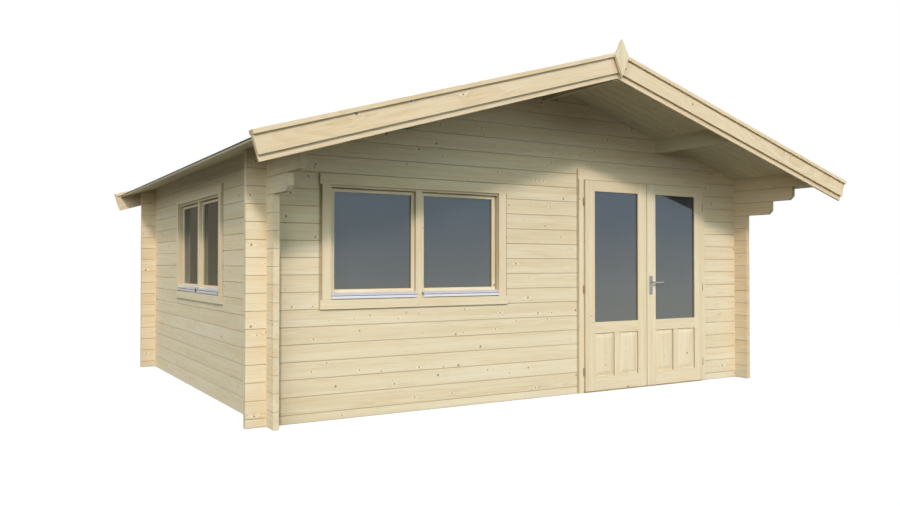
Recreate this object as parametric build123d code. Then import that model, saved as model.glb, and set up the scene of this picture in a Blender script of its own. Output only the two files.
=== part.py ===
from build123d import *
import os
from math import cos, radians, sin, tan

os.makedirs("parts", exist_ok=True)

# Clearances shared by every piece
FIT_GAP = 0.3            # between pieces that seat on each other
OVERRUN = 60.0           # how far a cut reaches past what it cuts

# Log walls
WALL_WIDTH = 5000.0      # over the outer faces of the side walls
WALL_DEPTH = 4000.0      # over the outer faces of the front and back walls
LOG_HEIGHT = 127.0
LOG_THICKNESS = 45.0
LOG_CHAMFER = 4.0        # each side of the groove between two courses
LOG_END = 150.0          # log ends standing past the crossing wall
NOTCH_SHARE = 0.25       # of a log's height, cut from its top and its bottom at a corner
TOP_LOG_SHARE = 1.25     # of a log's height, the most that the peak log may stand
SIDE_COURSES = 16
LOWER_CORBEL = 437.0     # reach of the two stepped log ends in front of the front wall
UPPER_CORBEL = 677.0
CORBEL_CHAMFER = 38.0

# Roof
ROOF_PITCH = 16.4        # degrees
EAVE_OVERHANG = 340.0    # past the side walls, at the underside of the roof boards
FRONT_OVERHANG = 935.0   # past the front wall, to the front of the fascia boards
BACK_OVERHANG = 225.0
ROOF_BOARD = 19.0
FELT = 3.4
FELT_LIP = 12.0          # turned down over the eave edge
PURLIN_WIDTH = 45.0
RIDGE_SEAT = 13.0        # of the ridge purlin, let into the log under the peak
PURLIN_COURSES = 18      # courses of an end wall under the side purlins
BARGE_THICKNESS = 20.0
BARGE_DROP = 142.0       # below the underside of the roof boards, square to the slope
BARGE_REACH = 47.0       # past the eave edge, along the slope
FASCIA_THICKNESS = 20.0
FASCIA_DROP = 101.0
CAP_HEIGHT = 28.0
CAP_WIDTH = 75.0
CAP_OVERHANG = 19.0      # in front of the fascia boards
FINIAL_THICKNESS = 20.0
FINIAL_HEIGHT = 291.0
FINIAL_WIDTH = 141.0
FINIAL_SHOULDER = 161.0  # height of its widest place above its lower tip
FINIAL_DROP = 145.5      # of its lower tip below the ridge

# Floor
JOIST_HEIGHT = 28.0
JOIST_WIDTH = 45.0
JOIST_COUNT = 9
FLOOR_BOARD = 19.0

# Casing boards round the openings
CASING_THICKNESS = 20.0

# Windows
FRONT_WINDOW_INSET = 1244.0  # of its middle, from the outer face of the left wall
LEFT_WINDOW_INSET = 1975.0   # of its middle, from the outer face of the front wall
WINDOW_LOW_COURSES = 7   # log heights under and up to the top of the cut-out
WINDOW_HIGH_COURSES = 14
WINDOW_CUT_WIDTH = 1570.0
WINDOW_JAMB = 29.0
WINDOW_HEAD = 41.0
WINDOW_SILL = 28.0
WINDOW_MULLION = 57.0
SASH_SETBACK = 27.0      # behind the outer face of the wall
SASH_THICKNESS = 34.0
SASH_STILE = 41.0
SASH_MEETING = 27.0      # the stile beside the mullion
SASH_TOP_RAIL = 29.0
SASH_BOTTOM_RAIL = 52.0
SASH_PLAY = 1.5
SASH_GROOVE = 9.0        # shadow groove along the top and the outer side of a sash
SASH_GROOVE_DEPTH = 14.0
WINDOW_GLASS = 6.0
GLASS_TONGUE = 8.0       # edge of the pane held in its groove
WINDOW_CASING_SIDE = 70.0
WINDOW_CASING_TOP = 81.0
WINDOW_CASING_HEAD = 24.0  # its lower edge, below the top of the cut-out
WINDOW_CASING_BOTTOM = 70.0
WINDOW_CASING_LAP = 5.0  # lower casing board above the bottom of the cut-out
WINDOW_CASING_EAR = 17.0
DRIP_SHEET = 1.5
DRIP_RISE = 31.4         # up the face of the sash
DRIP_FALL = 18.4
DRIP_LIP = 29.7
DRIP_BEAD = 5.0          # height of the nose, and its step in front of the lip
DRIP_REACH = 10.0        # in front of the casing

# Double door
DOOR_INSET = 1320.0      # of its middle, from the outer face of the right wall
DOOR_COURSES = 16        # courses of an end wall beside the doorway
DOOR_CUT_WIDTH = 1576.0
DOOR_POST = 30.0
DOOR_HEAD = 46.0
DOOR_STOP = 20.0         # lap of the stop behind the leaf
THRESHOLD_HEIGHT = 10.0
DOOR_CASING_SIDE = 52.0
DOOR_CASING_TOP = 91.0
DOOR_CASING_EAR = 10.0
LEAF_CLEARANCE = 5.0
LEAF_GAP = 7.0           # between the two leaves
LEAF_THICKNESS = 40.0
LEAF_PROUD = 38.0        # in front of the outer face of the wall
LEAF_STILE = 110.0
LEAF_TOP_RAIL = 97.0
LEAF_LOCK_RAIL = 100.0
LEAF_BOTTOM_RAIL = 124.0
LEAF_MUNTIN = 60.0
PANEL_HEIGHT = 395.0
PANEL_TONGUE = 10.0
PANEL_EDGE = 12.0        # thickness in the groove, also of the door glass
PANEL_MARGIN = 6.0       # flat border of a panel inside the frame
PANEL_RISE = 9.0
PANEL_BEVEL = 38.0       # width of the sloping border

# Hinges
HINGE_LOW = 192.0
HINGE_MIDDLE = 934.0
HINGE_HIGH = 1723.0
HINGE_LENGTH = 75.0
HINGE_RADIUS = 7.0
HINGE_OFFSET = 11.0      # of the axis past the edge of the leaf
HINGE_ARM = 6.0          # thickness of the arm to the leaf
HINGE_PIN_RADIUS = 3.5
HINGE_PIN_LENGTH = 28.0
BARREL_SIDES = 12
PIN_SIDES = 8

# Lever handle
HANDLE_HEIGHT = 987.0
HANDLE_BACKSET = 47.5    # from the meeting edge of the leaf
PLATE_WIDTH = 45.0
PLATE_HEIGHT = 178.0
PLATE_THICKNESS = 4.0
PLATE_DROP = 27.0        # of the plate's middle below the spindle
SPINDLE_RADIUS = 5.0
NECK_RADIUS = 8.0
NECK_LENGTH = 42.0       # from the plate to the middle of the grip
GRIP_LENGTH = 118.0
GRIP_HEIGHT = 17.0
GRIP_THICKNESS = 10.0

# Places worked out from the sizes above
HALF_WIDTH = WALL_WIDTH / 2
DOOR_X = HALF_WIDTH - DOOR_INSET
FRONT_Y = -(WALL_DEPTH + BACK_OVERHANG - FRONT_OVERHANG) / 2
BACK_Y = FRONT_Y + WALL_DEPTH
SLOPE_COS = cos(radians(ROOF_PITCH))
SLOPE_SIN = sin(radians(ROOF_PITCH))
SLOPE_TAN = tan(radians(ROOF_PITCH))
WALL_TOP = SIDE_COURSES * LOG_HEIGHT
RIDGE = WALL_TOP + (HALF_WIDTH - LOG_THICKNESS) * SLOPE_TAN
EAVE_SLOPE = (HALF_WIDTH + EAVE_OVERHANG) / SLOPE_COS
BOARDS_FRONT = FRONT_Y - FRONT_OVERHANG + FASCIA_THICKNESS + BARGE_THICKNESS + FIT_GAP
BOARDS_BACK = BACK_Y + BACK_OVERHANG - FASCIA_THICKNESS - BARGE_THICKNESS - FIT_GAP
FELT_LOW = ROOF_BOARD + FIT_GAP
FELT_TOP = FELT_LOW + FELT
FLOOR_TOP = JOIST_HEIGHT + FIT_GAP + FLOOR_BOARD
CASING_FRONT = -(FIT_GAP + CASING_THICKNESS)
CASING_BACK = LOG_THICKNESS + FIT_GAP + CASING_THICKNESS
SIDE_WALLS_AT = (-HALF_WIDTH, HALF_WIDTH - LOG_THICKNESS)
END_WALLS_AT = (FRONT_Y, BACK_Y - LOG_THICKNESS)
WINDOW_LOW = WINDOW_LOW_COURSES * LOG_HEIGHT
WINDOW_HIGH = WINDOW_HIGH_COURSES * LOG_HEIGHT
LEAF_EDGE = DOOR_CUT_WIDTH / 2 - DOOR_POST - LEAF_CLEARANCE
LEAF_BOTTOM = THRESHOLD_HEIGHT + LEAF_CLEARANCE
LEAF_BACK = LEAF_THICKNESS - LEAF_PROUD
STOP_Y = LEAF_BACK + LEAF_CLEARANCE
HINGE_X = LEAF_EDGE + HINGE_OFFSET
HINGE_Y = CASING_FRONT - FIT_GAP - HINGE_RADIUS
HANDLE_X = LEAF_GAP / 2 + HANDLE_BACKSET

FRONT_WINDOW = Pos(FRONT_WINDOW_INSET - HALF_WIDTH, FRONT_Y, 0)
LEFT_WINDOW = Pos(-HALF_WIDTH, FRONT_Y + LEFT_WINDOW_INSET, 0) * Rot(0, 0, -90)
DOOR = Pos(DOOR_X, FRONT_Y, 0)


# Basic shapes
def block(x0, x1, y0, y1, z0, z1):
    """A box between two corners."""
    middle = Pos((x0 + x1) / 2, (y0 + y1) / 2, (z0 + z1) / 2)
    return middle * Box(x1 - x0, y1 - y0, z1 - z0)


def prism_x(outline, x0, x1):
    """An outline in Y and Z, carried from x0 to x1."""
    return extrude(Plane.YZ.offset(x0) * Polygon(*outline, align=None), amount=x1 - x0, dir=(1, 0, 0))


def prism_y(outline, y0, y1):
    """An outline in X and Z, carried from y0 to y1."""
    return extrude(Plane.XZ.offset(-y0) * Polygon(*outline, align=None), amount=y1 - y0, dir=(0, 1, 0))


def prism_z(outline, z0, z1):
    """An outline in X and Y, carried from z0 to z1."""
    return extrude(Plane.XY.offset(z0) * Polygon(*outline, align=None), amount=z1 - z0, dir=(0, 0, 1))


def rod(axis_plane, radius, length):
    """A round bar that starts on a plane and runs along its normal."""
    return extrude(axis_plane * Circle(radius), amount=length)


def faceted_rod(axis_plane, radius, length, sides):
    """A small bar with flat sides, as far from its axis at the corners as the radius."""
    return extrude(axis_plane * RegularPolygon(radius, sides), amount=length)


def members(x0, x1, z0, z1, y0, y1, stile, bottom, top):
    """Two uprights and, between them, a lower and an upper rail."""
    left = block(x0, x0 + stile, y0, y1, z0, z1)
    right = block(x1 - stile, x1, y0, y1, z0, z1)
    rail_left = x0 + stile + FIT_GAP
    rail_right = x1 - stile - FIT_GAP
    lower = block(rail_left, rail_right, y0, y1, z0, z0 + bottom)
    upper = block(rail_left, rail_right, y0, y1, z1 - top, z1)
    return [left, right, lower, upper]


def mirrored(shapes):
    """The same pieces on the other side of the middle plane."""
    return [mirror(shape, about=Plane.YZ) for shape in shapes]


def placed(location, shapes):
    """Pieces moved from their own frame to their place on the cabin."""
    return [location * shape for shape in shapes]


def without(shapes, cut):
    """Each piece with one cut taken out of it."""
    return [shape - cut for shape in shapes]


# Roof geometry
def roof_underside(x):
    """Height of the underside of the roof boards."""
    return RIDGE - abs(x) * SLOPE_TAN


def roof_reach(z):
    """Distance from the middle at which the underside of the roof comes down to a height."""
    return (RIDGE - z) / SLOPE_TAN


def slope_point(along, above):
    """A point by its distance down the right slope and above the boards' underside."""
    x = along * SLOPE_COS + above * SLOPE_SIN
    z = RIDGE - along * SLOPE_SIN + above * SLOPE_COS
    return (x, z)


def ridge_point(above):
    """The plumb cut of a piece that meets its twin at the ridge."""
    along = (FIT_GAP / 2 - above * SLOPE_SIN) / SLOPE_COS
    return slope_point(along, above)


def slope_outline(low, high, along):
    """Outline of a board on the right slope: plumb at the ridge, square at its lower end."""
    return [ridge_point(low), slope_point(along, low), slope_point(along, high), ridge_point(high)]


def under_roof():
    """Everything below the roof boards."""
    reach = HALF_WIDTH + LOG_END + OVERRUN
    edge = roof_underside(reach) - FIT_GAP
    outline = [(-reach, -OVERRUN), (reach, -OVERRUN), (reach, edge), (0, RIDGE - FIT_GAP), (-reach, edge)]
    return prism_y(outline, BOARDS_FRONT - OVERRUN, BOARDS_BACK + OVERRUN)


def end_courses():
    """Bottom and top of each course of an end wall, from the half log to the peak."""
    joints = [0, LOG_HEIGHT / 2]
    while RIDGE - joints[-1] > LOG_HEIGHT * TOP_LOG_SHARE:
        joints.append(joints[-1] + LOG_HEIGHT)
    joints.append(RIDGE)
    return list(zip(joints[:-1], joints[1:]))


UNDER_ROOF = under_roof()
END_COURSES = end_courses()
DOOR_TOP = END_COURSES[DOOR_COURSES][0]
LEAF_TOP = DOOR_TOP - DOOR_HEAD - LEAF_CLEARANCE
LOCK_RAIL_LOW = LEAF_BOTTOM + LEAF_BOTTOM_RAIL + PANEL_HEIGHT
LOCK_RAIL_HIGH = LOCK_RAIL_LOW + LEAF_LOCK_RAIL


# Logs and their corner notches
def notched_log(x0, x1, y0, low, high, crossings):
    """A log along X, grooved along its edges and notched where other walls cross it."""
    seat = low + FIT_GAP if low > 0 else low
    log = block(x0, x1, y0, y0 + LOG_THICKNESS, seat, high)
    log = chamfer(log.edges().filter_by(Axis.X), LOG_CHAMFER)
    depth = LOG_HEIGHT * NOTCH_SHARE
    for crossing in crossings:
        near = crossing - FIT_GAP
        far = crossing + LOG_THICKNESS + FIT_GAP
        side = (near, far, y0 - OVERRUN, y0 + LOG_THICKNESS + OVERRUN)
        log = log - block(*side, high - depth, high + OVERRUN)
        if low > 0 or high - low > LOG_HEIGHT / 2:
            log = log - block(*side, low - OVERRUN, low + depth + FIT_GAP)
    return log


def end_wall(y0, courses, cuts):
    """Logs of a front or back wall, with its openings cut out and its gable trimmed to the roof."""
    reach = HALF_WIDTH + LOG_END
    solids = []
    for low, high in courses:
        log = notched_log(-reach, reach, y0, low, high, SIDE_WALLS_AT)
        for cut in cuts:
            log = log - cut
        if high > roof_underside(reach):
            log = log & UNDER_ROOF
        solids.extend(log.solids())
    return solids


def front_reach(course):
    """How far a side wall's log stands in front of the front wall."""
    steps = {
        SIDE_COURSES - 3: LOWER_CORBEL,
        SIDE_COURSES - 2: UPPER_CORBEL,
        SIDE_COURSES - 1: FRONT_Y - BOARDS_FRONT,
    }
    return steps.get(course, LOG_END)


def corbel_cut(front, low):
    """The slanted cut under the end of a stepped log."""
    outline = [
        (front, low + CORBEL_CHAMFER),
        (front + CORBEL_CHAMFER, low),
        (front + CORBEL_CHAMFER, low - OVERRUN),
        (front - OVERRUN, low - OVERRUN),
        (front - OVERRUN, low + CORBEL_CHAMFER),
    ]
    reach = HALF_WIDTH + OVERRUN
    return prism_x(outline, -reach, reach)


def side_wall(x0, cuts):
    """Logs of a side wall, from the ground to the eave."""
    solids = []
    for course in range(SIDE_COURSES):
        low = course * LOG_HEIGHT
        high = low + LOG_HEIGHT
        front = FRONT_Y - front_reach(course)
        back = BACK_Y + LOG_END
        if course == SIDE_COURSES - 1:
            back = BOARDS_BACK
        log = Rot(0, 0, 90) * notched_log(front, back, -x0 - LOG_THICKNESS, low, high, END_WALLS_AT)
        for cut in cuts:
            log = log - cut
        if LOG_END < front_reach(course) < FRONT_Y - BOARDS_FRONT:
            log = log - corbel_cut(front, low)
        if course == SIDE_COURSES - 1:
            log = log & UNDER_ROOF
        solids.extend(log.solids())
    return solids


# Roof pieces
def purlin_blocks(gap):
    """Ridge purlin and the right side purlin, before their tops are bevelled."""
    half = PURLIN_WIDTH / 2 + gap
    ridge_low = END_COURSES[-1][0] - RIDGE_SEAT - gap
    side_low, side_high = END_COURSES[PURLIN_COURSES]
    side_x = roof_reach(side_high) - PURLIN_WIDTH / 2
    ends = (BOARDS_FRONT, BOARDS_BACK)
    ridge = block(-half, half, *ends, ridge_low, RIDGE + OVERRUN)
    side = block(side_x - half, side_x + half, *ends, side_low - gap, side_high + OVERRUN)
    return ridge, side


def felt_sheet():
    """Roofing felt of the right slope, turned down over the eave."""
    inner = EAVE_SLOPE + FIT_GAP
    outer = inner + FELT
    lip = FELT_LOW - FELT_LIP
    outline = [
        ridge_point(FELT_LOW),
        slope_point(inner, FELT_LOW),
        slope_point(inner, lip),
        slope_point(outer, lip),
        slope_point(outer, FELT_TOP),
        ridge_point(FELT_TOP),
    ]
    return prism_y(outline, BOARDS_FRONT, BOARDS_BACK)


def verge(wall_y, overhang, outward):
    """Bargeboard, fascia board, cap strip and finial at one end of the roof, right side only."""
    along = EAVE_SLOPE + BARGE_REACH
    face = wall_y + outward * overhang
    board = face - outward * FASCIA_THICKNESS
    cap_face = face + outward * CAP_OVERHANG
    finial_face = cap_face + outward * FIT_GAP

    def slab(outline, outer, thickness):
        inner = outer - outward * thickness
        return prism_y(outline, min(outer, inner), max(outer, inner))

    barge_outline = slope_outline(-BARGE_DROP, FELT_TOP, along)
    barge = slab(barge_outline, board - outward * FIT_GAP, BARGE_THICKNESS - FIT_GAP)
    fascia = slab(slope_outline(-FASCIA_DROP, FELT_TOP, along), face, FASCIA_THICKNESS)
    cap_low = FELT_TOP + FIT_GAP
    cap = slab(slope_outline(cap_low, cap_low + CAP_HEIGHT, along), cap_face, CAP_WIDTH)
    tip = RIDGE - FINIAL_DROP
    diamond = [
        (0, tip),
        (FINIAL_WIDTH / 2, tip + FINIAL_SHOULDER),
        (0, tip + FINIAL_HEIGHT),
        (-FINIAL_WIDTH / 2, tip + FINIAL_SHOULDER),
    ]
    finial = slab(diamond, finial_face + outward * FINIAL_THICKNESS, FINIAL_THICKNESS)
    return barge, fascia, cap, finial


# Window pieces, with X along the wall and Y into the room
def window_cut():
    """The hole in the logs."""
    half = WINDOW_CUT_WIDTH / 2
    return block(-half, half, -OVERRUN, LOG_THICKNESS + OVERRUN, WINDOW_LOW, WINDOW_HIGH)


def window_frame():
    """Jambs, head and sill in the hole, with a mullion between the sashes."""
    half = WINDOW_CUT_WIDTH / 2 - FIT_GAP
    low = WINDOW_LOW + FIT_GAP
    high = WINDOW_HIGH - FIT_GAP
    frame = members(-half, half, low, high, 0, LOG_THICKNESS, WINDOW_JAMB, WINDOW_SILL, WINDOW_HEAD)
    post = WINDOW_MULLION / 2
    mullion_low = low + WINDOW_SILL + FIT_GAP
    mullion_high = high - WINDOW_HEAD - FIT_GAP
    return frame + [block(-post, post, 0, LOG_THICKNESS, mullion_low, mullion_high)]


def sash_bounds():
    """Left, right, bottom and top of the right sash."""
    left = WINDOW_MULLION / 2 + SASH_PLAY
    right = WINDOW_CUT_WIDTH / 2 - FIT_GAP - WINDOW_JAMB - SASH_PLAY
    low = WINDOW_LOW + WINDOW_SILL + 2 * FIT_GAP
    high = WINDOW_HIGH - WINDOW_HEAD - FIT_GAP - SASH_PLAY
    return left, right, low, high


def window_pane(grow):
    """The right pane, or with some growth the groove that holds it."""
    left, right, low, high = sash_bounds()
    tongue = GLASS_TONGUE + grow
    middle = SASH_SETBACK + SASH_THICKNESS / 2
    half = WINDOW_GLASS / 2 + grow
    sides = (left + SASH_MEETING - tongue, right - SASH_STILE + tongue)
    rails = (low + SASH_BOTTOM_RAIL - tongue, high - SASH_TOP_RAIL + tongue)
    return block(*sides, middle - half, middle + half, *rails)


def window_sash():
    """Stiles and rails of the right sash, grooved for the pane and rebated along the front."""
    left, right, low, high = sash_bounds()
    depth = (SASH_SETBACK, SASH_SETBACK + SASH_THICKNESS)
    rail_left = left + SASH_MEETING + FIT_GAP
    rail_right = right - SASH_STILE - FIT_GAP
    bars = [
        block(left, left + SASH_MEETING, *depth, low, high),
        block(right - SASH_STILE, right, *depth, low, high),
        block(rail_left, rail_right, *depth, low, low + SASH_BOTTOM_RAIL),
        block(rail_left, rail_right, *depth, high - SASH_TOP_RAIL, high),
    ]
    rebate = (SASH_SETBACK - OVERRUN, SASH_SETBACK + SASH_GROOVE_DEPTH)
    top = block(left - OVERRUN, right + OVERRUN, *rebate, high - SASH_GROOVE, high + OVERRUN)
    side = block(right - SASH_GROOVE, right + OVERRUN, *rebate, low - OVERRUN, high + OVERRUN)
    for cut in (window_pane(FIT_GAP), top, side):
        bars = without(bars, cut)
    return bars


def window_drip():
    """Folded metal drip sill under the right sash."""
    left, right, low, _ = sash_bounds()
    back = SASH_SETBACK - FIT_GAP
    front = CASING_FRONT - DRIP_REACH
    top = low + DRIP_RISE
    nose = top - DRIP_FALL
    lip = front + DRIP_BEAD
    under = nose + DRIP_FALL * (DRIP_BEAD + DRIP_SHEET) / (back - front) - DRIP_SHEET
    outline = [
        (back, top),
        (front, nose),
        (front, nose - DRIP_BEAD),
        (lip, nose - DRIP_BEAD),
        (lip, nose - DRIP_LIP),
        (lip + DRIP_SHEET, nose - DRIP_LIP),
        (lip + DRIP_SHEET, under),
        (back, top - DRIP_SHEET),
    ]
    return prism_x(outline, left, right)


def window_casing():
    """Casing boards outside and inside, the upper and lower ones with ears."""
    half = WINDOW_CUT_WIDTH / 2 - FIT_GAP - WINDOW_JAMB
    outer = half + WINDOW_CASING_SIDE
    ear = outer + WINDOW_CASING_EAR
    low = WINDOW_LOW + WINDOW_CASING_LAP
    high = WINDOW_HIGH - WINDOW_CASING_HEAD
    boards = []
    for y0, y1 in ((CASING_FRONT, -FIT_GAP), (LOG_THICKNESS + FIT_GAP, CASING_BACK)):
        boards.append(block(half, outer, y0, y1, low + FIT_GAP, high - FIT_GAP))
        boards.append(block(-outer, -half, y0, y1, low + FIT_GAP, high - FIT_GAP))
        boards.append(block(-ear, ear, y0, y1, high, high + WINDOW_CASING_TOP))
        boards.append(block(-ear, ear, y0, y1, low - WINDOW_CASING_BOTTOM, low))
    return boards


def window_nodes(name, location):
    """All pieces of one window, by node."""
    sash = window_sash()
    pane = window_pane(0)
    drip = window_drip()
    return {
        f"{name}_window_frame": placed(location, window_frame()),
        f"{name}_window_sashes": placed(location, sash + mirrored(sash)),
        f"{name}_window_glass": placed(location, [pane] + mirrored([pane])),
        f"{name}_window_casing": placed(location, window_casing()),
        f"{name}_window_sills": placed(location, [drip] + mirrored([drip])),
    }


# Doorway pieces, with X from the middle of the door and Y into the room
def door_cut():
    """The doorway in the logs, down to the ground."""
    half = DOOR_CUT_WIDTH / 2
    return block(-half, half, -OVERRUN, LOG_THICKNESS + OVERRUN, -OVERRUN, DOOR_TOP)


def door_frame():
    """Rebated posts and head, with a stop behind the leaves."""
    outer = DOOR_CUT_WIDTH / 2 - FIT_GAP
    inner = DOOR_CUT_WIDTH / 2 - DOOR_POST
    stop = inner - DOOR_STOP
    section = [
        (outer, 0),
        (outer, LOG_THICKNESS),
        (stop, LOG_THICKNESS),
        (stop, STOP_Y),
        (inner, STOP_Y),
        (inner, 0),
    ]
    post = prism_z(section, 0, DOOR_TOP - FIT_GAP)
    high = DOOR_TOP - FIT_GAP
    low = DOOR_TOP - DOOR_HEAD
    head_section = [
        (0, high),
        (LOG_THICKNESS, high),
        (LOG_THICKNESS, low - DOOR_STOP),
        (STOP_Y, low - DOOR_STOP),
        (STOP_Y, low),
        (0, low),
    ]
    head = prism_x(head_section, FIT_GAP - stop, stop - FIT_GAP)
    corner = block(stop - 2 * FIT_GAP, inner - FIT_GAP, 0, STOP_Y - FIT_GAP, low, high)
    head = head + corner + mirror(corner, about=Plane.YZ)
    return [post, mirror(post, about=Plane.YZ), head]


def door_threshold():
    """Low sill under the leaves, with an upstand behind them up to the floor."""
    half = DOOR_CUT_WIDTH / 2 - DOOR_POST - DOOR_STOP - FIT_GAP
    section = [
        (CASING_FRONT, 0),
        (LOG_THICKNESS, 0),
        (LOG_THICKNESS, FLOOR_TOP),
        (STOP_Y, FLOOR_TOP),
        (STOP_Y, THRESHOLD_HEIGHT),
        (CASING_FRONT, THRESHOLD_HEIGHT),
    ]
    return prism_x(section, -half, half)


def door_casing():
    """Casing boards outside and inside the doorway."""
    inner = DOOR_CUT_WIDTH / 2 - DOOR_POST
    outer = inner + DOOR_CASING_SIDE
    ear = outer + DOOR_CASING_EAR
    high = DOOR_TOP - DOOR_HEAD
    boards = []
    rows = ((CASING_FRONT, -FIT_GAP, 0), (LOG_THICKNESS + FIT_GAP, CASING_BACK, FLOOR_TOP + FIT_GAP))
    for y0, y1, low in rows:
        boards.append(block(inner, outer, y0, y1, low, high - FIT_GAP))
        boards.append(block(-outer, -inner, y0, y1, low, high - FIT_GAP))
        boards.append(block(-ear, ear, y0, y1, high, high + DOOR_CASING_TOP))
    return boards


# Door leaf pieces, right leaf
def leaf_glass(grow):
    """The tall pane over the lock rail, or with some growth its groove."""
    middle = LEAF_BACK - LEAF_THICKNESS / 2
    half = PANEL_EDGE / 2 + grow
    reach = PANEL_TONGUE + grow
    left = LEAF_GAP / 2 + LEAF_STILE - reach
    right = LEAF_EDGE - LEAF_STILE + reach
    low = LOCK_RAIL_HIGH - reach
    high = LEAF_TOP - LEAF_TOP_RAIL + reach
    return block(left, right, middle - half, middle + half, low, high)


def panel_bounds():
    """Sides of the two panels' openings in the frame of the leaf."""
    left = LEAF_GAP / 2 + LEAF_STILE
    right = LEAF_EDGE - LEAF_STILE
    middle = (left + right) / 2
    half = LEAF_MUNTIN / 2
    return (left, middle - half), (middle + half, right)


def panel_tongues(grow):
    """The flat edges of the two lower panels, or with some growth their grooves."""
    middle = LEAF_BACK - LEAF_THICKNESS / 2
    half = PANEL_EDGE / 2 + grow
    reach = PANEL_TONGUE + grow
    low = LEAF_BOTTOM + LEAF_BOTTOM_RAIL - reach
    high = LOCK_RAIL_LOW + reach
    tongues = []
    for left, right in panel_bounds():
        tongues.append(block(left - reach, right + reach, middle - half, middle + half, low, high))
    return tongues


def leaf_panels():
    """Two raised and fielded panels, bevelled on both faces."""
    middle_y = LEAF_BACK - LEAF_THICKNESS / 2
    middle_z = (LEAF_BOTTOM + LEAF_BOTTOM_RAIL + LOCK_RAIL_LOW) / 2
    thickness = PANEL_EDGE + 2 * PANEL_RISE
    panels = []
    for (left, right), tongue in zip(panel_bounds(), panel_tongues(0)):
        raised = Box(right - left - 2 * PANEL_MARGIN, thickness, PANEL_HEIGHT - 2 * PANEL_MARGIN)
        for end in (0, -1):
            field = raised.faces().sort_by(Axis.Y)[end]
            raised = chamfer(field.edges(), length=PANEL_BEVEL, length2=PANEL_RISE, reference=field)
        panels.append(tongue + Pos((left + right) / 2, middle_y, middle_z) * raised)
    return panels


def leaf_frame():
    """Stiles, rails and muntin of the right leaf, grooved for glass and panels."""
    left = LEAF_GAP / 2
    front = -LEAF_PROUD
    back = LEAF_BACK
    bars = members(
        left, LEAF_EDGE, LEAF_BOTTOM, LEAF_TOP, front, back, LEAF_STILE, LEAF_BOTTOM_RAIL, LEAF_TOP_RAIL
    )
    rail_left = left + LEAF_STILE + FIT_GAP
    rail_right = LEAF_EDGE - LEAF_STILE - FIT_GAP
    bars.append(block(rail_left, rail_right, front, back, LOCK_RAIL_LOW, LOCK_RAIL_HIGH))
    (_, muntin_left), (muntin_right, _) = panel_bounds()
    muntin_low = LEAF_BOTTOM + LEAF_BOTTOM_RAIL + FIT_GAP
    bars.append(block(muntin_left, muntin_right, front, back, muntin_low, LOCK_RAIL_LOW - FIT_GAP))
    for groove in panel_tongues(FIT_GAP) + [leaf_glass(FIT_GAP)]:
        bars = without(bars, groove)
    return bars


# Hinges of the right leaf
def hinge_halves():
    """Upper halves on the leaf and lower halves with the pins on the casing."""
    upper = []
    lower = []
    half = HINGE_LENGTH / 2
    socket = (HINGE_PIN_RADIUS + FIT_GAP) / cos(radians(180 / PIN_SIDES))
    arm = HINGE_ARM / 2
    for middle in (HINGE_LOW, HINGE_MIDDLE, HINGE_HIGH):
        foot = Plane((HINGE_X, HINGE_Y, middle - half))
        seam = Plane((HINGE_X, HINGE_Y, middle))
        barrel = faceted_rod(foot, HINGE_RADIUS, half - FIT_GAP, BARREL_SIDES)
        pin = faceted_rod(seam.offset(-2 * FIT_GAP), HINGE_PIN_RADIUS, HINGE_PIN_LENGTH, PIN_SIDES)
        lower.append(barrel + pin)
        knuckle = faceted_rod(seam, HINGE_RADIUS, half, BARREL_SIDES)
        arm_sides = (LEAF_EDGE + FIT_GAP, HINGE_X, HINGE_Y - arm, HINGE_Y + arm)
        knuckle = knuckle + block(*arm_sides, middle + HINGE_PIN_LENGTH + 2 * FIT_GAP, middle + half)
        upper.append(knuckle - faceted_rod(seam, socket, HINGE_PIN_LENGTH + FIT_GAP, PIN_SIDES))
    return upper, lower


# Lever handle of the right leaf
def spindle_plane(y):
    """A plane square to the spindle, looking into the room."""
    return Plane((HANDLE_X, y, HANDLE_HEIGHT), (1, 0, 0), (0, 1, 0))


def handle_plates():
    """Long plates on both faces of the leaf, bored for the lever's neck."""
    low = HANDLE_HEIGHT - PLATE_DROP - PLATE_HEIGHT / 2
    sides = (HANDLE_X - PLATE_WIDTH / 2, HANDLE_X + PLATE_WIDTH / 2)
    outside = -LEAF_PROUD - FIT_GAP
    inside = LEAF_BACK + FIT_GAP
    plates = [
        block(*sides, outside - PLATE_THICKNESS, outside, low, low + PLATE_HEIGHT),
        block(*sides, inside, inside + PLATE_THICKNESS, low, low + PLATE_HEIGHT),
    ]
    return without(plates, lever_bore(NECK_RADIUS + FIT_GAP))


def lever_bore(radius):
    """A round hole right through the leaf and its plates."""
    return rod(spindle_plane(-LEAF_PROUD - OVERRUN), radius, LEAF_THICKNESS + 2 * OVERRUN)


def handle_lever():
    """Spindle through the leaf with a neck and a grip on each side."""
    outside = -LEAF_PROUD - FIT_GAP
    inside = LEAF_BACK + FIT_GAP
    lever = rod(spindle_plane(outside - FIT_GAP), SPINDLE_RADIUS, inside - outside + 2 * FIT_GAP)
    for start, facing in ((outside, -1), (inside, 1)):
        end = start + facing * (PLATE_THICKNESS + NECK_LENGTH)
        neck = rod(spindle_plane(min(start, end)), NECK_RADIUS, PLATE_THICKNESS + NECK_LENGTH)
        slot = Pos(GRIP_LENGTH / 2, 0) * SlotCenterToCenter(GRIP_LENGTH, GRIP_HEIGHT)
        grip = extrude(spindle_plane(end - GRIP_THICKNESS / 2) * slot, amount=GRIP_THICKNESS)
        lever = lever + neck + grip
    return lever


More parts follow.
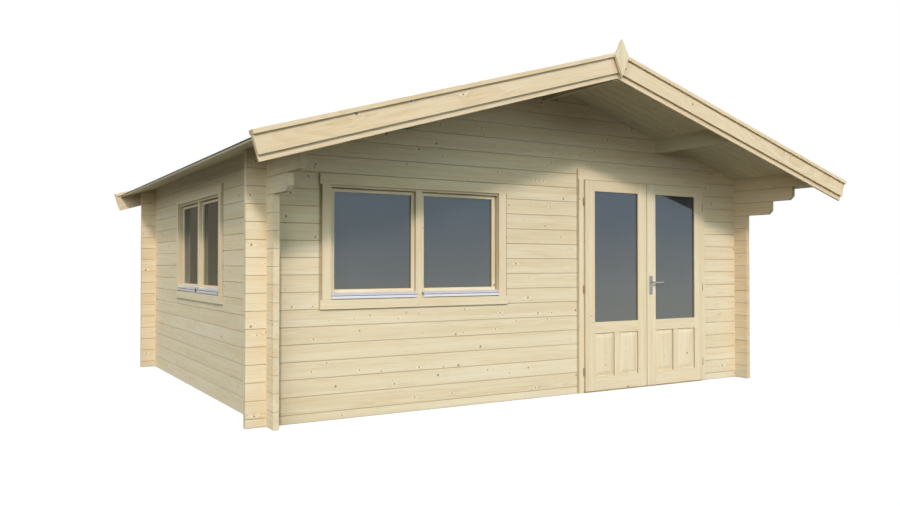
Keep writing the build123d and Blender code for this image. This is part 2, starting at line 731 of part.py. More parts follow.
# The whole cabin, by node
def wall_nodes():
    """Log walls and gables."""
    openings = [FRONT_WINDOW * window_cut(), DOOR * door_cut()]
    ridge, side = purlin_blocks(FIT_GAP)
    seats = [ridge, side, mirror(side, about=Plane.YZ)]
    front = end_wall(FRONT_Y, END_COURSES[:DOOR_COURSES], openings)
    back_face = BACK_Y - LOG_THICKNESS
    return {
        "front_wall_left": [log for log in front if log.center().X < DOOR_X],
        "front_wall_right": [log for log in front if log.center().X > DOOR_X],
        "front_gable": end_wall(FRONT_Y, END_COURSES[DOOR_COURSES:], seats),
        "back_wall": end_wall(back_face, END_COURSES[:DOOR_COURSES], []),
        "back_gable": end_wall(back_face, END_COURSES[DOOR_COURSES:], seats),
        "left_wall": side_wall(-HALF_WIDTH, [LEFT_WINDOW * window_cut()]),
        "right_wall": side_wall(HALF_WIDTH - LOG_THICKNESS, []),
    }


def floor_nodes():
    """Joists on the ground and the boards on them."""
    half = HALF_WIDTH - LOG_THICKNESS - FIT_GAP
    front = FRONT_Y + LOG_THICKNESS + FIT_GAP
    back = BACK_Y - LOG_THICKNESS - FIT_GAP
    joists = []
    spacing = (2 * half - JOIST_WIDTH) / (JOIST_COUNT - 1)
    for number in range(JOIST_COUNT):
        left = number * spacing - half
        joists.append(block(left, left + JOIST_WIDTH, front, back, 0, JOIST_HEIGHT))
    deck = block(-half, half, front, back, JOIST_HEIGHT + FIT_GAP, FLOOR_TOP)
    return {"floor_joists": joists, "floor_boards": [deck]}


def roof_nodes():
    """Purlins, boards, felt and the trim at both ends."""
    ridge, side = [beam & UNDER_ROOF for beam in purlin_blocks(0)]
    boards = prism_y(slope_outline(0, ROOF_BOARD, EAVE_SLOPE), BOARDS_FRONT, BOARDS_BACK)
    felt = felt_sheet()
    nodes = {
        "ridge_purlin": [ridge],
        "side_purlins": [side] + mirrored([side]),
        "roof_boards_left": mirrored([boards]),
        "roof_boards_right": [boards],
        "roof_felt": [felt] + mirrored([felt]),
    }
    for name, wall_y, overhang, outward in (
        ("front", FRONT_Y, FRONT_OVERHANG, -1),
        ("back", BACK_Y, BACK_OVERHANG, 1),
    ):
        barge, fascia, cap, finial = verge(wall_y, overhang, outward)
        nodes[f"{name}_bargeboards"] = [barge] + mirrored([barge])
        nodes[f"{name}_fascia_boards"] = [fascia] + mirrored([fascia])
        nodes[f"{name}_cap_strips"] = [cap] + mirrored([cap])
        nodes[f"{name}_finial"] = [finial]
    return nodes


def door_nodes():
    """Doorway, two leaves, their hinges and the lever."""
    frame = leaf_frame()
    panels = leaf_panels()
    glass = [leaf_glass(0)]
    upper, lower = hinge_halves()
    return {
        "door_frame": placed(DOOR, door_frame()),
        "door_threshold": placed(DOOR, [door_threshold()]),
        "door_casing": placed(DOOR, door_casing()),
        "door_hinge_pins": placed(DOOR, lower + mirrored(lower)),
        "left_leaf_frame": placed(DOOR, mirrored(frame)),
        "left_leaf_panels": placed(DOOR, mirrored(panels)),
        "left_leaf_glass": placed(DOOR, mirrored(glass)),
        "left_leaf_hinges": placed(DOOR, mirrored(upper)),
        "right_leaf_frame": placed(DOOR, without(frame, lever_bore(SPINDLE_RADIUS + FIT_GAP))),
        "right_leaf_panels": placed(DOOR, panels),
        "right_leaf_glass": placed(DOOR, glass),
        "right_leaf_hinges": placed(DOOR, upper),
        "handle_plates": placed(DOOR, handle_plates()),
        "handle_lever": placed(DOOR, [handle_lever()]),
    }


nodes = {}
nodes.update(wall_nodes())
nodes.update(floor_nodes())
nodes.update(roof_nodes())
nodes.update(window_nodes("front", FRONT_WINDOW))
nodes.update(window_nodes("left", LEFT_WINDOW))
nodes.update(door_nodes())

for name, shapes in nodes.items():
    solids = [solid for shape in shapes for solid in shape.solids()]
    export_step(Compound(solids), f"parts/{name}.step")
    print(name, len(solids))
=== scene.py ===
# %% [markdown]
# # A garden log cabin
# The cabin arrives as a set of finished solids: logs, boards, frames, leaves and panes, each already in
# its place and at its real size. This lesson dresses them. Each step says what the piece is on the real
# cabin, how it could be made in Blender and why one way was picked. The solids are never moved: a piece
# that needs more shape than the solid has is modelled again around the solid's own box.

# %% Load the solids
import math

import bmesh
import bpy
from mathutils import Matrix, Vector


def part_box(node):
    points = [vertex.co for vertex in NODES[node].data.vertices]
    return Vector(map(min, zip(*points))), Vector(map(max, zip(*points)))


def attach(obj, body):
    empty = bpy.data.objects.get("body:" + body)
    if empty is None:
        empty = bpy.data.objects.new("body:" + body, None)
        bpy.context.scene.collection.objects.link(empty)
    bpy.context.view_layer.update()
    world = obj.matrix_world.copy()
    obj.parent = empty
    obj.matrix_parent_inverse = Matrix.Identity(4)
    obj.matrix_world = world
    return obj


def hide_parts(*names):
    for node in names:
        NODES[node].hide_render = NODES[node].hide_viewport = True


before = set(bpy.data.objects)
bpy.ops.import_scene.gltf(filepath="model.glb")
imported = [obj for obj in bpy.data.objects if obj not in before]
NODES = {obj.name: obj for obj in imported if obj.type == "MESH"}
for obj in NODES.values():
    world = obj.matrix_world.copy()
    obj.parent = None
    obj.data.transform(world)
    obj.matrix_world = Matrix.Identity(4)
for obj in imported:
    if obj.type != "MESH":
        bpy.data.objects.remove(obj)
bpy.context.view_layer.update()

# %% [markdown]
# The camera comes first, because every later choice is judged through it. The picture was taken from the
# left of the front wall, a little above waist height, with the lens held level. Its place was found from
# the edges that are parallel on a real cabin, so it is a measured place and not a guess by eye.

# %% Camera
CAMERA_PLACE = (-4.326, -7.230, 1.162)
CAMERA_TURN = 31.0        # degrees to the right of the cabin's depth
CAMERA_RISE = 0.775       # degrees above level
CAMERA_LENS = 32.08       # millimetres on a sensor of 36
CAMERA_SENSOR = 36.0

camera_data = bpy.data.cameras.new("camera")
camera_data.lens = CAMERA_LENS
camera_data.sensor_width = CAMERA_SENSOR
camera = bpy.data.objects.new("camera", camera_data)
camera.location = CAMERA_PLACE
camera.rotation_euler = (math.radians(90 + CAMERA_RISE), 0, math.radians(-CAMERA_TURN))
bpy.context.scene.collection.objects.link(camera)
bpy.context.scene.camera = camera
print("camera at", CAMERA_PLACE)

# %% [markdown]
# Light. A low sun stands to the left of the front and throws the gable's shadow on the wall. Under the
# roof that shade is no flat tone: it grows lighter all the way down to the sun's edge, because the bright
# band above the horizon reaches in below the eaves. One lamp cannot do both, so there are more: a sun
# with a small disc for the edge, haze with a wide disc on the left, a low glow from the right and a warm
# one that keeps the back from sinking into the dark. A dim, cool sky fills what they leave. Panes mirror
# the sun alone, or they would show the soft lamps as discs. The world is white where the eye, a polished
# face or a pane looks at it, so the backdrop never lights the wood.

# %% Lamps
# Each lamp's name, the way its light travels, its strength, its tint and its disc in degrees
LAMPS = (
    ("sun", (0.41, 0.935, -0.588), 1.77, (1.0, 0.897, 0.868), 6.0),
    ("haze", (0.74, 0.58, -0.35), 1.40, (0.93, 0.965, 0.925), 46.0),
    ("glow", (-0.45, 0.87, -0.19), 0.76, (0.86, 1.0, 0.95), 42.0),
    ("back_glow", (-0.55, -0.83, -0.04), 1.0, (1.0, 0.82, 0.74), 40.0),
)

bpy.context.scene.view_settings.view_transform = "Standard"

for name, travel, strength, tint, disc in LAMPS:
    lamp_data = bpy.data.lights.new(name, "SUN")
    lamp_data.energy = strength
    lamp_data.color = tint
    lamp_data.angle = math.radians(disc)
    lamp = bpy.data.objects.new(name, lamp_data)
    lamp.rotation_euler = Vector(travel).to_track_quat("-Z", "Y").to_euler()
    lamp.visible_glossy = name == "sun"
    bpy.context.scene.collection.objects.link(lamp)
    print("lamp set:", name)


# %% Shader maths as Python expressions
class Value:
    """A shader socket that adds, multiplies and compares like a number."""

    def __init__(self, socket):
        self.socket = socket

    def math(self, operation, first, second=0.0):
        tree = self.socket.id_data
        node = tree.nodes.new("ShaderNodeMath")
        node.operation = operation
        for place, value in zip(node.inputs, (first, second)):
            if isinstance(value, Value):
                tree.links.new(value.socket, place)
            else:
                place.default_value = value
        return Value(node.outputs[0])

    def __add__(self, other):
        return self.math("ADD", self, other)

    def __radd__(self, other):
        return self.math("ADD", other, self)

    def __sub__(self, other):
        return self.math("SUBTRACT", self, other)

    def __rsub__(self, other):
        return self.math("SUBTRACT", other, self)

    def __mul__(self, other):
        return self.math("MULTIPLY", self, other)

    def __rmul__(self, other):
        return self.math("MULTIPLY", other, self)

    def __truediv__(self, other):
        return self.math("DIVIDE", self, other)

    def __gt__(self, other):
        return self.math("GREATER_THAN", self, other)

    def __lt__(self, other):
        return self.math("LESS_THAN", self, other)

    def __abs__(self):
        return self.math("ABSOLUTE", self)

    def __floor__(self):
        return self.math("FLOOR", self)

    def fraction(self):
        return self.math("FRACT", self)

    def at_most(self, other):
        return self.math("MINIMUM", self, other)

    def at_least(self, other):
        return self.math("MAXIMUM", self, other)

    def other(self, name):
        """Another output of the same node."""
        return Value(self.socket.node.outputs[name])


class Finish:
    """A node tree, with one way to add any node to it."""

    def __init__(self, tree):
        self.tree = tree

    def feed(self, socket, value):
        if isinstance(value, Value):
            self.tree.links.new(value.socket, socket)
        else:
            socket.default_value = value

    def node(self, kind, settings=None, inputs=None, output=0):
        made = self.tree.nodes.new(kind)
        for key, value in (settings or {}).items():
            setattr(made, key, value)
        for key, value in (inputs or {}).items():
            self.feed(made.inputs[key], value)
        return Value(made.outputs[output])

    def mix(self, share, first, second, blend="MIX"):
        """Colours mixed by a share."""
        settings = {"data_type": "RGBA", "blend_type": blend}
        return self.node("ShaderNodeMix", settings, {0: share, 6: first, 7: second}, 2)

    def step(self, value, low, high):
        """A smooth step from 0 at low to 1 at high."""
        settings = {"interpolation_type": "SMOOTHSTEP"}
        return self.node("ShaderNodeMapRange", settings, {0: value, 1: low, 2: high, 3: 0.0, 4: 1.0})

    def vector(self, x, y, z):
        return self.node("ShaderNodeCombineXYZ", None, {0: x, 1: y, 2: z})

    def length(self, spot):
        return self.node("ShaderNodeVectorMath", {"operation": "LENGTH"}, {0: spot}, "Value")

    def noise(self, spot, scale, detail, roughness=0.5):
        inputs = {"Vector": spot, "Scale": scale, "Detail": detail, "Roughness": roughness}
        return self.node("ShaderNodeTexNoise", {"noise_dimensions": "3D"}, inputs)


def new_finish(name):
    """A material with nothing but its surface shader."""
    material = bpy.data.materials.new(name)
    material.use_nodes = True
    return material, Finish(material.node_tree), material.node_tree.nodes["Principled BSDF"]


def placed(name, shape, material):
    """Turns a shape into an object with one finish."""
    data = bpy.data.meshes.new(name)
    shape.to_mesh(data)
    shape.free()
    data.materials.append(material)
    made = bpy.data.objects.new(name, data)
    bpy.context.scene.collection.objects.link(made)
    return made


def sheet(name, material, matrix):
    """A square of two metres, brought to its size and place."""
    shape = bmesh.new()
    bmesh.ops.create_grid(shape, x_segments=1, y_segments=1, size=1, matrix=matrix)
    return placed(name, shape, material)


# %% Sky and floor
SKY_FILL = 0.31
SKY_TINT = (0.70, 1.0, 1.05, 1)
FLOOR_REACH = 60.0        # metres each way
FLOOR_DROP = 0.002        # below the cabin's foot
FLOOR_PAINT = (0.9, 0.9, 0.9, 1)
FLOOR_FILL = 0.07         # what the floor gives back to the wood
FLOOR_SHOWN_SHARE = 0.30  # of the floor's own shading, to the eye
FLOOR_GLOW = 1.18         # brings the floor in the open to white


def white_to_the_eye(finish):
    """1 for rays of the camera, of polished faces and of panes."""
    rays = [finish.node("ShaderNodeLightPath", None, None, output)
            for output in ("Is Camera Ray", "Is Glossy Ray", "Is Transmission Ray")]
    return (rays[0] + rays[1] + rays[2]).at_most(1.0)


world = bpy.data.worlds.new("sky")
bpy.context.scene.world = world
world.use_nodes = True
sky = Finish(world.node_tree)
seen = white_to_the_eye(sky)
sky_node = world.node_tree.nodes["Background"]
sky.feed(sky_node.inputs["Color"], sky.mix(seen, SKY_TINT, (1, 1, 1, 1)))
sky.feed(sky_node.inputs["Strength"], SKY_FILL + seen * (1 - SKY_FILL))

floor_material, ground, surface = new_finish("pale_floor")
ground.tree.nodes.remove(surface)
shown = white_to_the_eye(ground)
paint = ground.mix(shown, (FLOOR_FILL, FLOOR_FILL, FLOOR_FILL, 1), FLOOR_PAINT)
matte = ground.node("ShaderNodeBsdfDiffuse", None, {"Color": paint})
white = ground.node("ShaderNodeEmission", None, {"Color": (1, 1, 1, 1), "Strength": FLOOR_GLOW})
both = ground.node("ShaderNodeMixShader", None, {0: shown * (1 - FLOOR_SHOWN_SHARE), 1: matte, 2: white})
ground.feed(ground.tree.nodes["Material Output"].inputs["Surface"], both)
lower = Matrix.Translation((0, 0, -FLOOR_DROP))
floor = sheet("floor", floor_material, lower @ Matrix.Scale(FLOOR_REACH, 4))
print("sky and floor set")

# %% [markdown]
# Seen along a wall, a pane turns into a mirror, and a mirror in front of a white backdrop is white. A
# dark card where that mirror looks gives the pane its depth back. The panes of the left wall are seen
# along the wall and look to the back left, so the card stands there, and only polished faces can see it.

# %% Card for the side panes
CARD_MIDDLE = (-9.5, 12.0, 2.0)
CARD_SPAN = (8.0, 3.0)
CARD_COLOUR = (0.30, 0.24, 0.15, 1)

card_material, card_finish, surface = new_finish("dark_card")
card_finish.tree.nodes.remove(surface)
dark = card_finish.node("ShaderNodeEmission", None, {"Color": CARD_COLOUR, "Strength": 1.0})
card_finish.feed(card_finish.tree.nodes["Material Output"].inputs["Surface"], dark)
stand = Matrix.Translation(CARD_MIDDLE) @ Matrix.Rotation(math.radians(90), 4, "X")
card = sheet("card", card_material, stand @ Matrix.Diagonal((*CARD_SPAN, 1, 1)))
for ray in ("camera", "diffuse", "transmission", "shadow", "volume_scatter"):
    setattr(card, f"visible_{ray}", False)
print("card set")

# %% [markdown]
# Planed pine is the finish of nearly everything here: pale cream wood with soft streaks, thin growth
# rings and small brown knots. It could be painted face by face, but then the end of a log would not agree
# with its side. So the pine is a solid: growth rings stand round a pith that lies beside each board,
# knots push them aside, and each face simply cuts through that. One function makes the wood; what it
# needs is the direction of the grain and a number for the board, which decides the board's own shade.

# %% Pine: colours and sizes
PINE_PALE = (0.860, 0.770, 0.585, 1)
PINE_HONEY = (0.815, 0.690, 0.480, 1)
PINE_AMBER = (0.760, 0.565, 0.320, 1)
PINE_LATE = (0.610, 0.460, 0.260, 1)
PINE_TINTS = ((1.00, 0.995, 0.985, 1), (0.965, 0.945, 0.910, 1))
PINE_END = (1.0, 0.98, 0.95, 1)
# painted shade on joinery edges that do not face out of the wall
PINE_EDGE_SHADE = (0.73, 0.73, 0.69, 1)
# painted shade in the joints between logs, round casings and sashes, and in the grooves round panels and
# panes
PINE_SEAM_SHADE = (0.180, 0.095, 0.040, 1)
KNOT_FLARE = (0.930, 0.880, 0.740, 1)
KNOT_HALO = (0.680, 0.455, 0.215, 1)
KNOT_BODY = (0.440, 0.250, 0.105, 1)
KNOT_RIM = (0.240, 0.125, 0.052, 1)
FLARE_SHARE = 0.30         # of a step along the grain, where the flare beside a knot is measured
LARGE_KNOTS = (0.42, (0.0050, 0.0092), 0.56, 5.0)    # spacing, sizes, share of places taken, seed
SMALL_KNOTS = (0.19, (0.0030, 0.0052), 0.34, 11.0)
KNOT_RANGE_SHARES = (0.2, 0.6)     # of the spacing: where a knot's range begins, and how long it is
KNOT_SPREAD = 0.1          # across the board
FAR_AWAY = 400.0           # in knot sizes: there is no knot
BOARD_SEED = 3.7
GRAIN_SLIDE = 37.0         # how far the grain of two boards may be shifted
GRAIN_TURN = 9.0
PITH_SPREAD = 0.11         # of the pith, across the board
PITH_BEHIND = 0.03         # of the pith, behind the board's middle
PITH_DEPTH = 0.05          # how much deeper it may lie
PITH_BEND = 0.05           # how far it wanders on its way
RING_WIDTH = 0.0042
PINE_RELIEF = 0.0006
PINE_GLOSS = 0.32
SEAM_SHADE_WIDTH = 0.0034
SEAM_SHADE_CORE = 0.0008         # the part of the painted joint shade that is wholly dark
SEAM_SHADE_SHARE = 0.50          # how far the painted shade darkens the wood in a joint
CASING_SHADE_SHARE = 0.5   # of the true distance, so that the painted shade at a casing is twice as wide as in a joint between logs
LOG_COURSE = 0.127
LOG_THICK = 0.045
HALF_COURSE_SHARE = 0.5


def split(value, kind="XYZ"):
    """The three parts of a vector or a colour."""
    names = {"XYZ": "XYZ", "Color": ("Red", "Green", "Blue")}[kind]
    made = Finish(value.socket.id_data).node(f"ShaderNodeSeparate{kind}", None, {0: value}, names[0])
    return [made.other(name) for name in names]


class Lay:
    """Where a point lies in its board: along, across and through the grain, and the board's number."""

    def __init__(self, finish):
        self.finish = finish
        self.x, self.y, self.z = split(finish.node("ShaderNodeTexCoord", None, None, "Object"))
        self.normal = split(finish.node("ShaderNodeTexCoord", None, None, "Normal"))
        self.number = 0.0 * self.x
        self.edge = None

    def pick(self, mask, first, second):
        """The first value where the mask is 0, the second where it is 1."""
        return first + (second - first) * mask

    def set(self, along, across, through, facing, seam=None):
        """The last value is the distance from the joint to the next board, where that joint shows and gets
        painted shade.
        """
        self.along = along
        self.across = across
        self.through = through
        self.facing = abs(facing)
        self.seam = seam


# %% Pine: knots
def knots(finish, lay, shifted, knot_share, spacing, sizes, taken_share, seed):
    """Distances to the nearest knot and to the flare beside it, in knot sizes, and that knot's size."""
    cell = math.floor(shifted / spacing)
    draw = finish.node("ShaderNodeTexWhiteNoise", {"noise_dimensions": "3D"},
                       {"Vector": finish.vector(cell, lay.number, seed)}, "Color")
    here, side, bulk = split(draw, "Color")
    size = sizes[0] + (sizes[1] - sizes[0]) * bulk * bulk
    along = shifted - (cell + KNOT_RANGE_SHARES[0] + here * KNOT_RANGE_SHARES[1]) * spacing
    across = lay.across - (side - 0.5) * KNOT_SPREAD
    missing = draw.other("Value") > taken_share * knot_share

    def distance(share):
        return finish.length(finish.vector(along * share, across, 0.0)) / size + missing * FAR_AWAY

    return distance(1.0), distance(FLARE_SHARE), size


# %% Pine: the wood
def pine(name, lay_out, knot_share=1.0, tint=(1, 1, 1, 1)):
    """A pine finish whose grain is set by lay_out(lay)."""
    material, finish, surface = new_finish(name)
    lay = Lay(finish)
    lay_out(lay)
    draw = finish.node("ShaderNodeTexWhiteNoise", {"noise_dimensions": "2D"},
                       {"Vector": finish.vector(lay.number, BOARD_SEED, 0.0)}, "Color")
    slide, shade, pith = split(draw, "Color")
    shifted = lay.along + slide * GRAIN_SLIDE

    def streaks(stretch, fine, detail):
        across = lay.across * fine + pith * GRAIN_TURN
        return finish.noise(finish.vector(shifted * stretch, across, lay.through * fine), 1.0, detail, 0.55)

    broad = streaks(0.55, 16.0, 2.0)
    streak = streaks(2.6, 75.0, 3.0)
    fibre = streaks(5.0, 420.0, 2.0)
    bend = streaks(0.9, 3.0, 1.0)
    wobble = streaks(160.0, 160.0, 1.0)

    large, large_flare, large_size = knots(finish, lay, shifted, knot_share, *LARGE_KNOTS)
    small, small_flare, small_size = knots(finish, lay, shifted, knot_share, *SMALL_KNOTS)
    side = finish.step(lay.facing, 0.6, 0.9)
    plain = side if lay.edge is None else side + lay.edge
    nearest = large.at_most(small) + (wobble - 0.5) * 0.55 + plain * FAR_AWAY
    push = large_size * 1.5 / (1.0 + large * large * 0.16) + small_size * 1.2 / (1.0 + small * small * 0.2)

    up = lay.across - (pith - 0.5) * PITH_SPREAD + (bend - 0.5) * PITH_BEND
    out = lay.through + PITH_BEHIND + shade * PITH_DEPTH + (bend - 0.5) * PITH_BEND
    reach = finish.length(finish.vector(up, out, 0.0))
    saw = ((reach + push) / RING_WIDTH + broad * 2.2).fraction()
    late = finish.step(saw, 0.25, 0.92) * (1.0 - finish.step(saw, 0.93, 1.0))

    colour = finish.mix(finish.step(broad, 0.32, 0.72), PINE_PALE, PINE_HONEY)
    colour = finish.mix(finish.step(streak, 0.46, 0.80) * 0.70, colour, PINE_AMBER)
    curl = 1.0 - finish.step(large_flare, 1.0, 6.0)
    rings = late * (0.32 + 0.18 * side + 0.35 * curl) * finish.step(bend, 0.25, 0.7)
    colour = finish.mix(rings, colour, PINE_LATE)
    colour = finish.mix((fibre - 0.5).at_least(0.0) * 0.9, colour, PINE_LATE)
    colour = finish.mix(1.0, colour, finish.mix(shade, *PINE_TINTS), "MULTIPLY")
    colour = finish.mix(side, colour, finish.mix(1.0, colour, PINE_END, "MULTIPLY"))
    colour = finish.mix(1.0, colour, tint, "MULTIPLY")
    # Painted shade on the edges that do not face out of the wall
    if lay.edge is not None:
        colour = finish.mix(lay.edge, colour, PINE_EDGE_SHADE, "MULTIPLY")
    flare = 1.0 - finish.step(large_flare.at_most(small_flare) + plain * FAR_AWAY, 0.7, 2.4)
    halo = 1.0 - finish.step(nearest, 1.0, 2.2)
    body = 1.0 - finish.step(nearest, 0.75, 1.1)
    rim = finish.step(nearest, 0.55, 0.9) * (1.0 - finish.step(nearest, 0.95, 1.25))
    colour = finish.mix(flare * 0.55 * finish.step(bend, 0.40, 0.6), colour, KNOT_FLARE)
    colour = finish.mix(halo * 0.40, colour, KNOT_HALO)
    colour = finish.mix(body * 0.92, colour, KNOT_BODY)
    colour = finish.mix(rim * 0.60, colour, KNOT_RIM)
    # Painted shade in joints, grooves and reveals
    if lay.seam is not None:
        seam = 1.0 - finish.step(lay.seam, SEAM_SHADE_CORE, SEAM_SHADE_WIDTH)
        colour = finish.mix(seam * SEAM_SHADE_SHARE, colour, PINE_SEAM_SHADE)

    finish.feed(surface.inputs["Base Color"], colour)
    finish.feed(surface.inputs["Roughness"], 0.50 + fibre * 0.18 - body * 0.12 + side * 0.12)
    surface.inputs["Specular IOR Level"].default_value = PINE_GLOSS
    height = late * 0.45 + fibre * 0.55 - rim * 0.8 + body * 0.4
    bump = finish.node("ShaderNodeBump", None, {"Strength": 0.35, "Distance": PINE_RELIEF, "Height": height})
    finish.feed(surface.inputs["Normal"], bump)
    return material


def dress(material, *names):
    """Puts a finish on solids of the frame."""
    for name in names:
        slots = NODES[name].data.materials
        slots.clear()
        slots.append(material)


def between(value, low, high):
    """1 inside a span."""
    return (value > low) * (value < high)


def middle_of(name):
    low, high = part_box(name)
    return (low + high) / 2


# %% [markdown]
# Logs lie flat in courses, and the number of the course picks each log's shade. The end walls begin with
# a half log, so that their joints fall halfway up the logs of the side walls. A log that a door or a
# window interrupts is two logs, so the number also changes across the opening.

# %% Logs of the four walls
FRONT_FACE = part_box("front_gable")[0].y
LEFT_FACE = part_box("left_wall")[0].x
DOOR_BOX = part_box("door_frame")
FRONT_WINDOW_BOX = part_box("front_window_frame")
LEFT_WINDOW_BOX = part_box("left_window_frame")


def beside(lay, value, opening, axis):
    """1 past the middle of an opening, at the height of that opening."""
    low, high = opening
    middle = (low[axis] + high[axis]) / 2
    return (value > middle) * (lay.z < high.z) * (lay.z > low.z)


def casing_shade_distance(lay, value, name, axis):
    """Distance of a log's face from the casing nailed on it, where painted shade marks a fine joint."""
    low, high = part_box(name)
    beyond = (low[axis] - value).at_least(value - high[axis])
    return beyond.at_least(low.z - lay.z).at_least(lay.z - high.z).at_least(0.0) * CASING_SHADE_SHARE


def end_wall_logs(lay):
    course = math.floor((lay.z + LOG_COURSE * HALF_COURSE_SHARE) / LOG_COURSE)
    back = lay.y > 0.0
    split_logs = beside(lay, lay.x, DOOR_BOX, 0) * 61.0 + beside(lay, lay.x, FRONT_WINDOW_BOX, 0) * 23.0
    lay.number = course + back * 140.0 + split_logs * (1.0 - back)
    depth = lay.y - FRONT_FACE - back * (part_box("back_gable")[0].y - FRONT_FACE) - LOG_THICK / 2
    rise = lay.z - course * LOG_COURSE
    # Painted shade along the joints between logs and round the casings
    seam = LOG_COURSE / 2 - abs(rise)
    for name in ("door_casing", "front_window_casing"):
        seam = seam.at_most(casing_shade_distance(lay, lay.x, name, 0) + back)
    lay.set(lay.x, rise, depth, lay.normal[0], seam)


def side_wall_logs(lay):
    course = math.floor(lay.z / LOG_COURSE)
    right = lay.x > 0.0
    split_logs = beside(lay, lay.y, LEFT_WINDOW_BOX, 1) * 31.0
    lay.number = 300.0 + course + right * 140.0 + split_logs * (1.0 - right)
    depth = lay.x - LEFT_FACE - right * (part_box("right_wall")[0].x - LEFT_FACE) - LOG_THICK / 2
    rise = lay.z - (course + 0.5) * LOG_COURSE
    # Painted shade along the joints between logs and round the window's casing
    casing = casing_shade_distance(lay, lay.y, "left_window_casing", 1) + right
    lay.set(lay.y, rise, depth, lay.normal[1], casing.at_most(LOG_COURSE / 2 - abs(rise)))


FRONT_WALLS = ("front_wall_left", "front_wall_right", "front_gable")
BACK_WALLS = ("back_wall", "back_gable")
BACK_TINT = (0.92, 0.91, 0.90, 1)
# painted shade: the right wall darker, for its log ends and corbels that face left under the roof
RIGHT_WALL_SHADE = (0.86, 0.84, 0.81, 1)
dress(pine("pine_front_walls", end_wall_logs), *FRONT_WALLS)
dress(pine("pine_back_walls", end_wall_logs, 1.0, BACK_TINT), *BACK_WALLS)
dress(pine("pine_left_wall", side_wall_logs), "left_wall")
dress(pine("pine_right_wall", side_wall_logs, 1.0, RIGHT_WALL_SHADE), "right_wall")
print("walls dressed:", len(FRONT_WALLS) + len(BACK_WALLS) + 2)

# %% [markdown]
# Joinery. Posts and stiles stand up, rails and heads lie down, and the grain always runs along a board,
# never across it. A finish that is the same for a whole frame has to know which is which, so each lay
# below tells the upright boards from the lying ones by their place: the sizes come from the solids' own
# boxes.

# %% Lays for trim, frames and leaves
ROOF_PITCH = math.radians(16.4)
COS_PITCH = math.cos(ROOF_PITCH)
SIN_PITCH = math.sin(ROOF_PITCH)
RIDGE = 2.7545
COLUMN_WIDTH = 1 / 7       # upright boards further apart than this are different boards
ROW_HEIGHT = 1 / 5         # so are lying ones
CELL_SHIFT_SHARE = 0.02    # keeps the steps off the boards' faces
BEAM_APART = 0.3           # beams further from the middle than this are others
VERGE_PITH = 0.01          # shifts the pith of the roof's edge boards


def along_x(number, centre):
    """Boards that lie along the front."""
    def lay_out(lay):
        lay.number = number + 0.0 * lay.x
        lay.set(lay.x, lay.z - centre.z, lay.y - centre.y, lay.normal[0])
    return lay_out


def along_y(number, centre):
    """Beams that run from front to back, told apart by their side."""
    def lay_out(lay):
        lay.number = number + (lay.x > BEAM_APART) * 3.0 + (lay.x < -BEAM_APART) * 5.0
        lay.set(lay.y, lay.z - centre.z, lay.x - centre.x, lay.normal[1])
    return lay_out


def upright(number, centre):
    """Boards that stand up."""
    def lay_out(lay):
        lay.number = number + (lay.x > centre.x) * 3.0
        lay.set(lay.z, lay.x - centre.x, lay.y - centre.y, lay.normal[2])
    return lay_out


def paired(number, centre, apart):
    """Two upright boards side by side, each that far from the middle."""
    def lay_out(lay):
        wide = lay.x - centre.x
        lay.number = number + (wide > 0.0) * 3.0
        lay.set(lay.z, abs(wide) - apart, lay.y - centre.y, lay.normal[2])
    return lay_out


def on_slope(lay):
    """Distances from the ridge, down the slope and above it, and how far a face looks down the slope."""
    out = abs(lay.x)
    drop = RIDGE - lay.z
    along = out * COS_PITCH + drop * SIN_PITCH
    above = out * SIN_PITCH - drop * COS_PITCH
    facing = abs(lay.normal[0]) * COS_PITCH - abs(lay.normal[2]) * SIN_PITCH
    return along, above, facing


def down_slope(number):
    """Boards that follow the roof's edge on either side."""
    def lay_out(lay):
        along, across, facing = on_slope(lay)
        lay.number = number + (lay.x > 0.0) * 3.0 + (lay.y > 0.0) * 5.0
        lay.set(along, across, lay.y - VERGE_PITH, facing)
    return lay_out


def frame_lay(number, centre, lying, axis=0, front=None, sash_joint_shade=None):
    """Frames of upright and lying boards: lying(side, height) is 1 on the lying ones.

    Painted shade: edges that do not face out of the wall are darker. Behind the front, if one is given,
    edges round panels and panes lie in a groove and get painted shade, but not those on top of a rail or at
    a leaf's own sides.
    A gap(side, height), if one is given, is the distance from the joint round a sash, which gets painted
    shade.
    """
    def lay_out(lay):
        place = (lay.x, lay.y)
        wide = place[axis] - centre[axis]
        deep = place[1 - axis] - centre[1 - axis]
        flat = lying(wide, lay.z)
        outside = deep > 0.0
        column = math.floor(wide / COLUMN_WIDTH + CELL_SHIFT_SHARE)
        row = math.floor(lay.z / ROW_HEIGHT + CELL_SHIFT_SHARE)
        lay.number = number + lay.pick(flat, column + 40.0, row + 90.0) + outside * 17.0
        along = lay.pick(flat, lay.z, wide)
        across = lay.pick(flat, wide - column * COLUMN_WIDTH, lay.z - row * ROW_HEIGHT)
        seam = None
        # Painted shade in the grooves round panels and panes
        if front is not None:
            outer = 1.0 - between(abs(wide), *LEAF_INNER)
            bare = (lay.normal[2] > 0.5) + (abs(lay.normal[1 - axis]) > 0.5) + outer
            seam = (front - place[1 - axis]).at_least(0.0) + bare
        # Painted shade in the joint round a sash
        if sash_joint_shade is not None:
            seam = sash_joint_shade(abs(wide), lay.z) * CASING_SHADE_SHARE
        lay.set(along, across, deep, lay.pick(flat, lay.normal[2], lay.normal[axis]), seam)
        # Painted shade: how far a face turns away from the wall's face
        lay.edge = 1.0 - lay.finish.step(abs(lay.normal[1 - axis]), 0.3, 0.7)
    return lay_out


